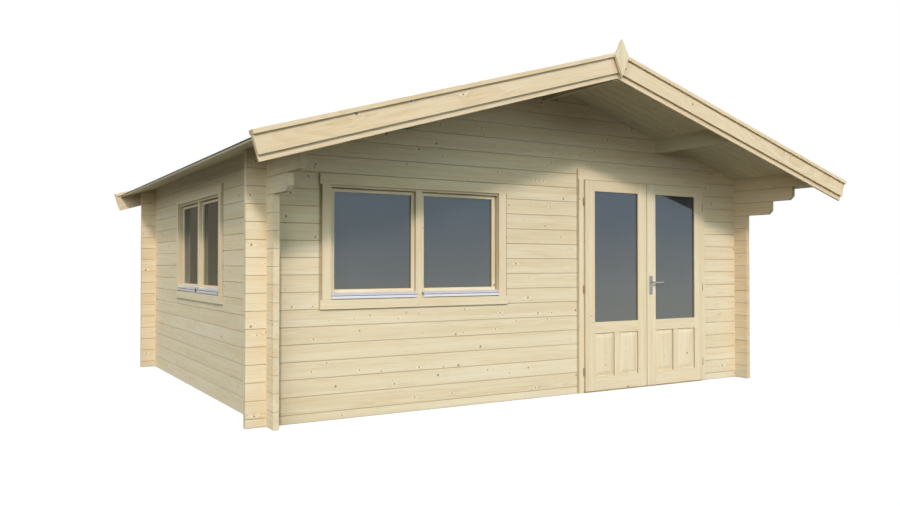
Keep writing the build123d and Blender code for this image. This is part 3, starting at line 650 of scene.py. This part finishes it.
# %% Windows and door in pine
WINDOW_HEAD = 0.041
WINDOW_SILL = 0.028
CASING_TOP = 0.081
CASING_BOTTOM = 0.070
SASH_RAILS = (0.0571, 0.7131)      # from the window's middle: the span of the rails and the pane
DOOR_HEAD = 0.046
DOOR_CASING_TOP = 0.091
LEAF_RAILS = (0.1135, 0.643)       # from the door's middle
LEAF_INNER = (0.020, 0.740)        # inside the leaf's own edges
PANEL_SPAN = (0.139, 0.534)        # heights of the lower panels
MUNTIN_SPAN = (0.34825, 0.40825)   # from the door's middle
LEAF_SHADE_DEPTH = 0.004
JOINERY_TINT = (1.02, 1.01, 1.005, 1)
THRESHOLD_TINT = (0.9, 0.88, 0.84, 1)
JOINERY_KNOT_SHARE = 0.45
PANEL_KNOT_SHARE = 1.1
PANEL_MIDDLE_SHARE = 0.28          # of a leaf's panels over all, from their middle to that of one

for number, side, axis in ((400.0, "front", 0), (500.0, "left", 1)):
    def in_frame(wide, height, box=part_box(f"{side}_window_frame")):
        return 1.0 - between(height, box[0].z + WINDOW_SILL, box[1].z - WINDOW_HEAD)

    def in_casing(wide, height, box=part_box(f"{side}_window_casing")):
        return 1.0 - between(height, box[0].z + CASING_BOTTOM, box[1].z - CASING_TOP)

    def in_sash(wide, height):
        return between(abs(wide), *SASH_RAILS)

    # Distance from the joint round a sash, for its painted shade
    def sash_shade_distance(wide, height, box=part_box(f"{side}_window_sashes"), axis=axis):
        half = (box[1][axis] - box[0][axis]) / 2
        inner = SASH_RAILS[0] + SASH_RAILS[1] - half
        beside_sash = (half - wide).at_most(wide - inner)
        return beside_sash.at_most(height - box[0].z).at_most(box[1].z - height).at_least(0.0)

    for step, (part, rule, sash_joint_shade) in enumerate((
        ("frame", in_frame, None),
        ("casing", in_casing, None),
        ("sashes", in_sash, sash_shade_distance),
    )):
        name = f"{side}_window_{part}"
        lay_out = frame_lay(number + step * 31.0, middle_of(name), rule, axis, None, sash_joint_shade)
        dress(pine(f"pine_{name}", lay_out, JOINERY_KNOT_SHARE, JOINERY_TINT), name)


def in_door_frame(wide, height):
    return height > DOOR_BOX[1].z - DOOR_HEAD


def in_door_casing(wide, height):
    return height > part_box("door_casing")[1].z - DOOR_CASING_TOP


def in_leaf(wide, height):
    muntin = between(abs(wide), *MUNTIN_SPAN) * between(height, *PANEL_SPAN)
    return between(abs(wide), *LEAF_RAILS) * (1.0 - muntin)


DOOR_MIDDLE = middle_of("door_frame")
# Faces this far behind a leaf's front get painted shade
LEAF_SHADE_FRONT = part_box("left_leaf_frame")[0].y + LEAF_SHADE_DEPTH
for number, name, rule, front in (
    (600.0, "door_frame", in_door_frame, None),
    (640.0, "door_casing", in_door_casing, None),
    (700.0, "left_leaf_frame", in_leaf, LEAF_SHADE_FRONT),
    (760.0, "right_leaf_frame", in_leaf, LEAF_SHADE_FRONT),
):
    lay_out = frame_lay(number, DOOR_MIDDLE, rule, 0, front)
    dress(pine(f"pine_{name}", lay_out, JOINERY_KNOT_SHARE, JOINERY_TINT), name)
for number, name in ((820.0, "left_leaf_panels"), (830.0, "right_leaf_panels")):
    low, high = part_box(name)
    lay_out = paired(number, (low + high) / 2, (high.x - low.x) * PANEL_MIDDLE_SHARE)
    dress(pine(f"pine_{name}", lay_out, PANEL_KNOT_SHARE, JOINERY_TINT), name)
lay_out = along_x(840.0, middle_of("door_threshold"))
dress(pine("pine_threshold", lay_out, JOINERY_KNOT_SHARE, THRESHOLD_TINT), "door_threshold")
print("windows and door dressed")

# %% Roof trim, purlins and joists
TRIM_TINT = (0.985, 0.940, 0.915, 1)
TRIM_KNOT_SHARE = 0.7
FINIAL_KNOT_SHARE = 0.3
FINIAL_ASIDE = Vector((1, 0, 0))   # far from the knots, because a finial is cut from clear wood
# painted shade: the purlins under the roof are darker and cooler
PURLIN_SHADE_TINT = (0.69, 0.74, 0.75, 1)
JOIST_TINT = (0.92, 0.9, 0.86, 1)

for number, part in ((860.0, "bargeboards"), (880.0, "fascia_boards"), (900.0, "cap_strips")):
    wood = pine(f"pine_{part}", down_slope(number), TRIM_KNOT_SHARE, TRIM_TINT)
    dress(wood, f"front_{part}", f"back_{part}")
for number, end in ((920.0, "front"), (930.0, "back")):
    lay_out = upright(number, FINIAL_ASIDE + middle_of(f"{end}_finial"))
    dress(pine(f"pine_{end}_finial", lay_out, FINIAL_KNOT_SHARE), f"{end}_finial")
wood = pine("pine_purlins", along_y(940.0, middle_of("ridge_purlin")), 1.0, PURLIN_SHADE_TINT)
dress(wood, "ridge_purlin", "side_purlins")
wood = pine("pine_joists", along_y(960.0, middle_of("floor_joists")), 1.0, JOIST_TINT)
dress(wood, "floor_joists")
print("roof trim dressed")

# %% [markdown]
# Glass. By day a pane of a garden room shows a dim room behind it and takes a cool sheen from the
# daylight, so it reads as slate blue. A perfectly clear pane would show only the room. Here it keeps part
# of the light, lets the rest through and has a polished face, which also reads right where a viewer
# cannot trace light through glass. Its colour turns slowly from cool at the head to warm at the foot, a
# painted reflection of the sky above and the ground below, and a trace of dust keeps it from looking like
# paint.

# %% Glass
# painted reflection over the dim room behind: cool sky at the head of a pane, warm ground at its foot
GLASS_COOL_REFLECTION = (0.020, 0.030, 0.055, 1)
GLASS_WARM_REFLECTION = (0.115, 0.098, 0.070, 1)
GLASS_DUST = (0.16, 0.16, 0.16, 1)
GLASS_BODY = 0.84
GLASS_REFLECTION_SPAN = (0.65, 1.80)
GLASS_SHEEN = (0.75, 0.91, 1.0, 1)
GLASS_GLOSS = 2.15


def pane_glass(name):
    material, finish, surface = new_finish(name)
    lay = Lay(finish)
    # Painted reflection: cool sky towards the head, warm ground towards the foot
    rise = finish.step(lay.z, *GLASS_REFLECTION_SPAN)
    dust = finish.noise(finish.vector(lay.x, lay.y, lay.z), 3.5, 4.0)
    colour = finish.mix(rise, GLASS_WARM_REFLECTION, GLASS_COOL_REFLECTION)
    colour = finish.mix((dust - 0.45).at_least(0.0) * 0.25, colour, GLASS_DUST)
    finish.feed(surface.inputs["Base Color"], colour)
    finish.feed(surface.inputs["Roughness"], 0.02 + dust * 0.05)
    finish.feed(surface.inputs["Alpha"], GLASS_BODY + (dust - 0.5) * 0.08)
    surface.inputs["Specular Tint"].default_value = GLASS_SHEEN
    surface.inputs["IOR"].default_value = GLASS_GLOSS
    return material


PANES = ("front_window_glass", "left_window_glass", "left_leaf_glass", "right_leaf_glass")
dress(pane_glass("window_glass"), *PANES)
print("panes dressed:", len(PANES))

# %% [markdown]
# Metals. The drip sills are folded from anodised sheet with a pale, satin face; the hinges are brassed
# steel gone brown; the handle is satin steel. What tells them apart is less the colour than how they
# scatter light, so each gets its own roughness, with drawn lines or spots that change it a little.

# %% Metals
METAL_RELIEF = 0.0003
SILL_NOSE_SHADOW = (0.16, 0.14, 0.19, 1)
SILL_SHADOW_SPAN = (0.0190, 0.0247)       # painted shadow under the step of the sill's nose: heights above the sill's lower edge
SILL_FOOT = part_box("front_window_sills")[0].z
SILL_METALLIC_SHARE = 0.2


def metal(name, light, dark, rough, grain, metallic_share=1.0, shadow_span=None):
    """A satin metal with lines or spots of a second shade.

    Between two heights, if they are given, a painted shadow is drawn.
    """
    material, finish, surface = new_finish(name)
    lay = Lay(finish)
    grid = finish.vector(lay.x * grain[0], lay.y * grain[1], lay.z * grain[2])
    mark = finish.noise(grid, 1.0, 3.0, 0.6)
    colour = finish.mix(finish.step(mark, 0.3, 0.75), light, dark)
    # Painted shadow under the sill's nose, between the given heights
    if shadow_span is not None:
        colour = finish.mix(between(lay.z, *shadow_span), colour, SILL_NOSE_SHADOW)
    finish.feed(surface.inputs["Base Color"], colour)
    finish.feed(surface.inputs["Roughness"], rough[0] + (rough[1] - rough[0]) * mark)
    surface.inputs["Metallic"].default_value = metallic_share
    bump = finish.node("ShaderNodeBump", None, {"Strength": 0.12, "Distance": METAL_RELIEF, "Height": mark})
    finish.feed(surface.inputs["Normal"], bump)
    return material


SILL_METAL = metal("anodised_sill", (0.80, 0.80, 0.86, 1), (0.72, 0.71, 0.78, 1), (0.30, 0.44), (9, 9, 420),
                   SILL_METALLIC_SHARE, [SILL_FOOT + height for height in SILL_SHADOW_SPAN])
HINGE_METAL = metal("brassed_hinge", (0.46, 0.33, 0.20, 1), (0.28, 0.19, 0.11, 1), (0.30, 0.50),
                    (260, 260, 260))
HANDLE_METAL = metal("satin_steel", (0.42, 0.41, 0.39, 1), (0.32, 0.31, 0.30, 1), (0.26, 0.42),
                     (40, 600, 600))
dress(SILL_METAL, "front_window_sills", "left_window_sills")
print("metals made")

# %% [markdown]
# The roof. Under the felt lie planed boards that run from ridge to eave, tongued into each other, with a
# small groove on the room side of each joint: the lines under the front overhang. One slab with drawn
# lines would lose its shadows when the light moves, so every board is a slab of its own with its two
# lower edges bevelled. A board starts as a cube, is stretched to size down the slope, gets its plumb cut
# at the ridge and is then turned to the pitch as one with the others.

# %% Helpers for new pieces
ALONG_SHARE = 0.9          # of an edge's length that lies along an axis, for an edge that runs along it


def slab(shape, low, high):
    """A block between two corners. Gives back its vertices."""
    centre = (Vector(low) + Vector(high)) / 2
    size = Vector(high) - Vector(low)
    matrix = Matrix.Translation(centre) @ Matrix.Diagonal((*size, 1))
    return bmesh.ops.create_cube(shape, size=1, matrix=matrix)["verts"]


def edges_among(verts, rule):
    """Edges between these vertices that follow a rule on their middle and direction."""
    found = set()
    for vert in verts:
        for edge in vert.link_edges:
            ends = [end.co for end in edge.verts]
            if rule((ends[0] + ends[1]) / 2, (ends[1] - ends[0]).normalized()):
                found.add(edge)
    return list(found)


def runs_along(axis):
    """A rule for edges that run along an axis."""
    return lambda middle, way: abs(way[axis]) > ALONG_SHARE


def round_edges(shape, edges, width, segments=1):
    bmesh.ops.bevel(shape, geom=edges, offset=width, offset_type="OFFSET", affect="EDGES",
                    segments=segments, profile=0.5, material=-1)


def joined(*shapes):
    """One shape out of several."""
    whole = bmesh.new()
    for shape in shapes:
        data = bpy.data.meshes.new("passing")
        shape.to_mesh(data)
        whole.from_mesh(data)
        shape.free()
        bpy.data.meshes.remove(data)
    return whole


def finished(name, shape, body, slot, material, *nodes, smooth=None):
    """Turns a shape into a piece that rides on a body and stands for the named solids."""
    bmesh.ops.recalc_face_normals(shape, faces=shape.faces)
    if smooth is not None:
        for face in shape.faces:
            face.smooth = True
        for edge in shape.edges:
            edge.smooth = len(edge.link_faces) == 2 and edge.calc_face_angle(0) < math.radians(smooth)
    print("made", name, "with", len(shape.faces), "faces")
    made = placed(name, shape, material)
    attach(made, body)
    if nodes:
        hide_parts(*nodes)
    return made


# %% Roof boards
ROOF_BOARD = 0.019
ROOF_BOARD_COUNT = 54
BOARD_SEAM = 0.0005
BOARD_GROOVE = 0.004
EAVE_OUT = 2.840
EAVE_ALONG = EAVE_OUT / COS_PITCH
ROOF_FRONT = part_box("roof_boards_left")[0].y
ROOF_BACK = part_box("roof_boards_left")[1].y
RIDGE_SEAM = 0.00015
BOARD_PITCH = (ROOF_BACK - ROOF_FRONT) / ROOF_BOARD_COUNT
# painted shade: the boards are seen only from below, under the overhang, so they are darker and cooler
ROOF_SHADE_TINT = (0.81, 0.87, 0.86, 1)
ROOF_KNOT_SHARE = 0.5


def plumb(above):
    """Distance down the slope of the ridge's plumb cut, at a height above the boards' underside."""
    return (RIDGE_SEAM - above * SIN_PITCH) / COS_PITCH


def to_slope(shape, side):
    """Turns what was laid along X, at the ridge, to the pitch of one side of the roof."""
    matrix = Matrix.Translation((0, 0, RIDGE)) @ Matrix.Rotation(ROOF_PITCH, 4, "Y")
    bmesh.ops.transform(shape, matrix=matrix, verts=shape.verts)
    if side < 0:
        bmesh.ops.scale(shape, vec=(-1, 1, 1), verts=shape.verts)


def plumb_cut(shape, verts, run):
    """Leans the ridge end of a slab that is one run long, so that it stands plumb on the slope."""
    for vert in verts:
        if vert.co.x < run / 2:
            bmesh.ops.translate(shape, verts=[vert], vec=(plumb(vert.co.z) - vert.co.x, 0, 0))


def roof_boards(side):
    shape = bmesh.new()
    for number in range(ROOF_BOARD_COUNT):
        front = ROOF_FRONT + number * BOARD_PITCH
        verts = slab(shape, (0, front + BOARD_SEAM, 0),
                     (EAVE_ALONG, front + BOARD_PITCH - BOARD_SEAM, ROOF_BOARD))
        plumb_cut(shape, verts, EAVE_ALONG)
        lower = edges_among([vert for vert in verts if vert.co.z < ROOF_BOARD / 2], runs_along(0))
        round_edges(shape, lower, BOARD_GROOVE)
    to_slope(shape, side)
    return shape


def roof_board_lay(lay):
    along, through, facing = on_slope(lay)
    board = math.floor((lay.y - ROOF_FRONT) / BOARD_PITCH)
    lay.number = 1000.0 + board + (lay.x > 0.0) * 70.0
    lay.set(along, lay.y - ROOF_FRONT - (board + 0.5) * BOARD_PITCH, through, facing)


ROOF_PINE = pine("pine_roof_boards", roof_board_lay, ROOF_KNOT_SHARE, ROOF_SHADE_TINT)
for side, name in ((-1, "left"), (1, "right")):
    finished(f"grooved_roof_boards_{name}", roof_boards(side), "cabin", "roof_wood", ROOF_PINE,
             f"roof_boards_{name}")

# %% [markdown]
# Felt is laid in strips a metre wide, from the eave upwards, each lapping the strip below, with a last
# strip folded over the ridge. The laps are what a roof like this shows from above. Each strip is a thin
# slab whose lower edge is lifted by one thickness onto the strip below; the first one ends in a short
# turned-down drip.

# %% Felt strips
FELT_LOW = 0.0193
FELT_TOP = 0.0227
FELT_SHEET = 0.0016
FELT_STRIPS = 3
FELT_LAP = 0.10
FELT_LIP = 0.0062
FELT_CLEAR = 0.0003
RIDGE_STRIP = 0.30
FELT_DARK = (0.016, 0.016, 0.016, 1)
FELT_GRIT = (0.085, 0.084, 0.080, 1)
FELT_WORN = (0.075, 0.074, 0.070, 1)
FELT_RELIEF = 0.0012


def felt_strips(side):
    shape = bmesh.new()
    run = (EAVE_ALONG + FELT_CLEAR) / FELT_STRIPS
    for number in range(FELT_STRIPS):
        lower = EAVE_ALONG + FELT_CLEAR + FELT_SHEET - number * run
        upper = max(lower - run - FELT_LAP, RIDGE_STRIP / 2)
        verts = slab(shape, (upper, ROOF_FRONT, FELT_LOW), (lower, ROOF_BACK, FELT_LOW + FELT_SHEET))
        if number:
            edge = [vert for vert in verts if vert.co.x > lower - FELT_LAP]
            bmesh.ops.translate(shape, verts=edge, vec=(0, 0, FELT_SHEET))
        else:
            slab(shape, (lower - FELT_SHEET, ROOF_FRONT, FELT_LOW - FELT_LIP), (lower, ROOF_BACK, FELT_LOW))
    verts = slab(shape, (0, ROOF_FRONT, FELT_TOP - FELT_SHEET), (RIDGE_STRIP, ROOF_BACK, FELT_TOP))
    plumb_cut(shape, verts, RIDGE_STRIP)
    to_slope(shape, side)
    return shape


def felt():
    """Charcoal felt with pale mineral grit."""
    material, finish, surface = new_finish("mineral_felt")
    lay = Lay(finish)
    point = finish.vector(lay.x, lay.y, lay.z)
    grit = finish.noise(point, 900.0, 2.0, 0.65)
    cloud = finish.noise(point, 1.6, 4.0, 0.65)
    colour = finish.mix(finish.step(grit, 0.35, 0.7), FELT_DARK, FELT_GRIT)
    colour = finish.mix(finish.step(cloud, 0.35, 0.75) * 0.5, colour, FELT_WORN)
    finish.feed(surface.inputs["Base Color"], colour)
    finish.feed(surface.inputs["Roughness"], 0.86 + grit * 0.12)
    bump = finish.node("ShaderNodeBump", None, {"Strength": 0.6, "Distance": FELT_RELIEF, "Height": grit})
    finish.feed(surface.inputs["Normal"], bump)
    return material


FELT_FINISH = felt()
finished("lapped_roof_felt", joined(felt_strips(-1), felt_strips(1)), "cabin", "felt", FELT_FINISH,
         "roof_felt")

# %% [markdown]
# The floor is made as the roof is: planed boards across the joists, each with a fine bevel along its
# upper edges. It shows when the door stands open, and dimly through the glass.

# %% Floor boards
FLOOR_BOARD_COUNT = 41
FLOOR_BEVEL = 0.0015
FLOOR_LOW, FLOOR_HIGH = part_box("floor_boards")
FLOOR_PITCH = (FLOOR_HIGH.y - FLOOR_LOW.y) / FLOOR_BOARD_COUNT
FLOOR_TINT = (0.93, 0.90, 0.85, 1)
FLOOR_KNOT_SHARE = 0.8


def floor_boards():
    shape = bmesh.new()
    middle_height = (FLOOR_LOW.z + FLOOR_HIGH.z) / 2
    for number in range(FLOOR_BOARD_COUNT):
        front = FLOOR_LOW.y + number * FLOOR_PITCH
        verts = slab(shape, (FLOOR_LOW.x, front + BOARD_SEAM, FLOOR_LOW.z),
                     (FLOOR_HIGH.x, front + FLOOR_PITCH - BOARD_SEAM, FLOOR_HIGH.z))
        upper = edges_among([vert for vert in verts if vert.co.z > middle_height], runs_along(0))
        round_edges(shape, upper, FLOOR_BEVEL)
    return shape


def floor_board_lay(lay):
    board = math.floor((lay.y - FLOOR_LOW.y) / FLOOR_PITCH)
    lay.number = 1200.0 + board
    across = lay.y - FLOOR_LOW.y - (board + 0.5) * FLOOR_PITCH
    lay.set(lay.x, across, lay.z - FLOOR_LOW.z, lay.normal[0])


FLOOR_PINE = pine("pine_floor_boards", floor_board_lay, FLOOR_KNOT_SHARE, FLOOR_TINT)
finished("bevelled_floor_boards", floor_boards(), "cabin", "floor_wood", FLOOR_PINE, "floor_boards")

# %% [markdown]
# Hinges. Each leaf hangs on three bolt-on hinges: a lower barrel screwed to the casing carries a pin, and
# an upper barrel screwed to the leaf drops over it. Both have rounded tips, and a thin ring keeps them
# apart. A barrel is a turned part, so its outline is drawn once and spun round the hinge's axis.

# %% Turned and softened shapes
TURN_STEPS = 24
MERGE_GAP = 0.00001


def turned(outline, origin, axis="Z"):
    """Spins an outline of (distance from the axis, height) points.

    Heights point up, or out of the front for the Y axis.
    """
    turns = {"Z": Matrix.Identity(4), "Y": Matrix.Rotation(math.radians(90), 4, "X")}
    shape = bmesh.new()
    ends = [shape.verts.new((distance, 0, height)) for distance, height in outline]
    edges = [shape.edges.new(pair) for pair in zip(ends[:-1], ends[1:])]
    bmesh.ops.spin(shape, geom=ends + edges, cent=(0, 0, 0), axis=(0, 0, 1), angle=2 * math.pi,
                   steps=TURN_STEPS, use_merge=True, use_normal_flip=False, use_duplicate=False)
    bmesh.ops.remove_doubles(shape, verts=shape.verts, dist=MERGE_GAP)
    bmesh.ops.transform(shape, matrix=Matrix.Translation(origin) @ turns[axis], verts=shape.verts)
    return shape


def softened(low, high, width, segments, rule=lambda middle, way: True):
    """A block whose edges are rounded where the rule says so."""
    shape = bmesh.new()
    round_edges(shape, edges_among(slab(shape, low, high), rule), width, segments)
    return shape


# %% Hinges
HINGE_RADIUS = 0.007
HINGE_HALF = 0.0375
HINGE_TIP = 0.004
TIP_CROWN = 0.0003
TIP_OUT_SHARES = (0.5, 0.8)        # of the barrel's radius, on the way round its tip
TIP_RISE_SHARE = 0.35              # of the tip's height, at the second of these
HINGE_RING = 0.0006
HINGE_MIDDLES = (0.192, 0.934, 1.723)
HINGE_OUT = 0.764          # of the axis, from the door's middle
HINGE_FRONT = 0.0276       # of the axis, in front of the wall's face
HINGE_ARM = 0.006
HINGE_ARM_SOFT = 0.0018
LEAF_ARM_SHARE = 0.45      # of half a hinge, above its middle
CASING_ARM_SHARE = 0.65    # of half a hinge, below its middle
LEAF_EDGE = 0.753
CASING_FRONT = 0.0203      # of the door's casing, in front of the wall's face
PIN_RADIUS = 0.0035
PIN_REACH = 0.020
HINGE_SMOOTH = 35          # degrees, past which an edge stays hard


def barrel(low, high, tip_up):
    """Outline of a barrel with one rounded tip."""
    square = HINGE_RADIUS - HINGE_RING
    inner, outer = (HINGE_RADIUS * share for share in TIP_OUT_SHARES)
    tip = [(0, 0), (inner, TIP_CROWN), (outer, HINGE_TIP * TIP_RISE_SHARE), (HINGE_RADIUS, HINGE_TIP)]
    if tip_up:
        foot = [(0, low), (square, low), (HINGE_RADIUS, low + HINGE_RING)]
        return foot + [(out, high - rise) for out, rise in reversed(tip)]
    head = [(HINGE_RADIUS, high - HINGE_RING), (square, high), (0, high)]
    return [(out, low + rise) for out, rise in tip] + head


def hinge_axis(side):
    return Vector((DOOR_MIDDLE.x + side * HINGE_OUT, FRONT_FACE - HINGE_FRONT, 0))


def leaf_hinges(side):
    axis = hinge_axis(side)
    near = DOOR_MIDDLE.x + side * LEAF_EDGE
    half = Vector((0, HINGE_ARM / 2, 0))
    shapes = []
    for middle in HINGE_MIDDLES:
        shapes.append(turned(barrel(middle + HINGE_RING, middle + HINGE_HALF, True), axis))
        low = middle + HINGE_HALF * LEAF_ARM_SHARE
        shapes.append(softened(Vector((min(near, axis.x), axis.y, low)) - half,
                               Vector((max(near, axis.x), axis.y, low + HINGE_ARM)) + half,
                               HINGE_ARM_SOFT, 2, runs_along(0)))
    return joined(*shapes)


def hinge_pins():
    shapes = []
    for side in (-1, 1):
        axis = hinge_axis(side)
        half = Vector((HINGE_ARM / 2, 0, 0))
        for middle in HINGE_MIDDLES:
            seat = middle - 2 * HINGE_RING
            shapes.append(turned(barrel(middle - HINGE_HALF, middle - HINGE_RING, False), axis))
            shapes.append(turned([(0, seat), (PIN_RADIUS, seat), (PIN_RADIUS, middle + PIN_REACH),
                                  (0, middle + PIN_REACH + HINGE_RING)], axis))
            low = middle - HINGE_HALF * CASING_ARM_SHARE
            shapes.append(softened(Vector((axis.x, axis.y, low)) - half,
                                   Vector((axis.x, FRONT_FACE - CASING_FRONT, low + HINGE_ARM)) + half,
                                   HINGE_ARM_SOFT, 2, runs_along(1)))
    return joined(*shapes)


for side, name in ((-1, "left"), (1, "right")):
    finished(f"{name}_leaf_turned_hinges", leaf_hinges(side), f"{name}_leaf", "hinge_metal", HINGE_METAL,
             f"{name}_leaf_hinges", smooth=HINGE_SMOOTH)
finished("turned_hinge_pins", hinge_pins(), "cabin", "hinge_metal", HINGE_METAL, "door_hinge_pins",
         smooth=HINGE_SMOOTH)

# %% [markdown]
# The handle: a long plate on each face of the right leaf, with a lock cylinder under the lever and a
# screw at each end, and a lever with a round neck and a softly rounded grip. The plate and the grip start
# as blocks and get their softness from bevels of several steps; the neck, the cylinder's collar and the
# screws are turned. One face is modelled at the origin, with its back on Y = 0, and the room's face is
# its mirror image.

# %% Handle plates
LEVER_OUT = 0.051          # from the door's middle
LEVER_HEIGHT = 0.987
LEVER_SPOT = Vector((DOOR_MIDDLE.x + LEVER_OUT, 0, LEVER_HEIGHT))
PLATE_LOW, PLATE_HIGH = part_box("handle_plates")
PLATE_THICK = 0.004
PLATE_CORNER = 0.010
PLATE_EDGE = 0.0016
PLATE_RIM_SHARE = 0.9      # of the thickness, past which an edge is the front's
LOCK_DROP = 0.072
LOCK_RADIUS = 0.0085
LOCK_TAIL = 0.005
LOCK_DEEP = 0.0225
LOCK_PROUD = 0.002
LOCK_SOFT_SHARE = 0.8      # of the tail's half width
KEYWAY = Vector((0.0005, 0.0004, 0.004))
KEYWAY_SOFT_SHARE = 0.4    # of its half width
SCREW_RADIUS = 0.0035
SCREW_PROUD = 0.0011
SCREW_INSET = 0.011
COLLAR_RADIUS = 0.0115
COLLAR_PROUD = 0.0025
CAP_SOFT = 0.0008
PLATE_SMOOTH = 40          # degrees
OUTER_FACE = PLATE_LOW.y + PLATE_THICK
INNER_FACE = PLATE_HIGH.y - PLATE_THICK


def on_face(shape, face, out):
    """Brings a shape from Y = 0 to a face of the leaf: out is -1 on the front and 1 in the room."""
    matrix = Matrix.Translation((0, face, 0)) @ Matrix.Diagonal((1, -out, 1, 1))
    bmesh.ops.transform(shape, matrix=matrix, verts=shape.verts)
    return shape


def cap(spot, radius, height):
    """A low turned button."""
    outline = [(0, height), (radius - CAP_SOFT, height), (radius, height - CAP_SOFT), (radius, 0)]
    return turned(outline, (spot.x, 0, spot.z), "Y")


def handle_plate(face, out):
    """Plate, collar, lock cylinder and screws on one face of the leaf."""
    plate = softened((PLATE_LOW.x, -PLATE_THICK, PLATE_LOW.z), (PLATE_HIGH.x, 0, PLATE_HIGH.z),
                     PLATE_CORNER, 5, runs_along(1))
    rim = edges_among(plate.verts, lambda middle, way: middle.y < -PLATE_THICK * PLATE_RIM_SHARE)
    round_edges(plate, rim, PLATE_EDGE, 3)
    lock = LEVER_SPOT - Vector((0, 0, LOCK_DROP))
    front = PLATE_THICK + LOCK_PROUD
    shapes = [
        plate,
        cap(LEVER_SPOT, COLLAR_RADIUS, PLATE_THICK + COLLAR_PROUD),
        cap(lock, LOCK_RADIUS, front),
        softened((lock.x - LOCK_TAIL, -front, lock.z - LOCK_DEEP), (lock.x + LOCK_TAIL, 0, lock.z),
                 LOCK_TAIL * LOCK_SOFT_SHARE, 3, runs_along(1)),
        softened((lock.x - KEYWAY.x, -front - KEYWAY.y, lock.z - KEYWAY.z),
                 (lock.x + KEYWAY.x, -PLATE_THICK, lock.z + KEYWAY.z), KEYWAY.x * KEYWAY_SOFT_SHARE, 1),
    ]
    for height in (PLATE_LOW.z + SCREW_INSET, PLATE_HIGH.z - SCREW_INSET):
        shapes.append(cap(Vector((LEVER_SPOT.x, 0, height)), SCREW_RADIUS, PLATE_THICK + SCREW_PROUD))
    return on_face(joined(*shapes), face, out)


finished("lock_plates", joined(handle_plate(OUTER_FACE, -1), handle_plate(INNER_FACE, 1)), "right_leaf",
         "handle_metal", HANDLE_METAL, "handle_plates", smooth=PLATE_SMOOTH)

# %% Lever
LEVER_LOW, LEVER_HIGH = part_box("handle_lever")
GRIP_THICK = 0.010
GRIP_HEIGHT = 0.017
GRIP_SOFT = 0.0042
GRIP_HARD = 40             # degrees, past which an edge is rounded
GRIP_TIP_SHARES = (1.0, 0.8, 0.86)
NECK_RADIUS = 0.008
NECK_FOOT = 0.010
NECK_TIP = 0.003
NECK_SHARES = (1.2, 1.0, 0.92, 1.0, 0.9)   # of its radius: at the plate, foot, waist, grip and tip
NECK_WAIST_SHARE = 0.6                     # of the way to the grip
LEVER_SMOOTH = 50          # degrees


def lever_side(face, out):
    """Neck and grip on one face of the leaf."""
    reach = OUTER_FACE - LEVER_LOW.y if out < 0 else LEVER_HIGH.y - INNER_FACE
    grip_back = reach - GRIP_THICK
    heights = (0, NECK_FOOT, grip_back * NECK_WAIST_SHARE, grip_back, reach - NECK_TIP)
    outline = [(NECK_RADIUS * share, height) for share, height in zip(NECK_SHARES, heights)]
    neck = turned([(0, 0), *outline, (0, reach - NECK_TIP / 3)], (LEVER_SPOT.x, 0, LEVER_SPOT.z), "Y")
    grip = bmesh.new()
    half = GRIP_HEIGHT / 2
    verts = slab(grip, (LEVER_LOW.x, -reach, LEVER_SPOT.z - half),
                 (LEVER_HIGH.x, -grip_back, LEVER_SPOT.z + half))
    bmesh.ops.subdivide_edges(grip, edges=edges_among(verts, runs_along(0)), cuts=3)
    tip = [vert for vert in grip.verts if vert.co.x > LEVER_HIGH.x - GRIP_SOFT]
    bmesh.ops.scale(grip, vec=GRIP_TIP_SHARES, verts=tip,
                    space=Matrix.Translation((0, grip_back + GRIP_THICK / 2, -LEVER_SPOT.z)))
    hard = [edge for edge in grip.edges if edge.calc_face_angle(0) > math.radians(GRIP_HARD)]
    round_edges(grip, hard, GRIP_SOFT, 4)
    return on_face(joined(neck, grip), face, out)


finished("rounded_lever", joined(lever_side(OUTER_FACE, -1), lever_side(INNER_FACE, 1)), "lever",
         "handle_metal", HANDLE_METAL, "handle_lever", smooth=LEVER_SMOOTH)
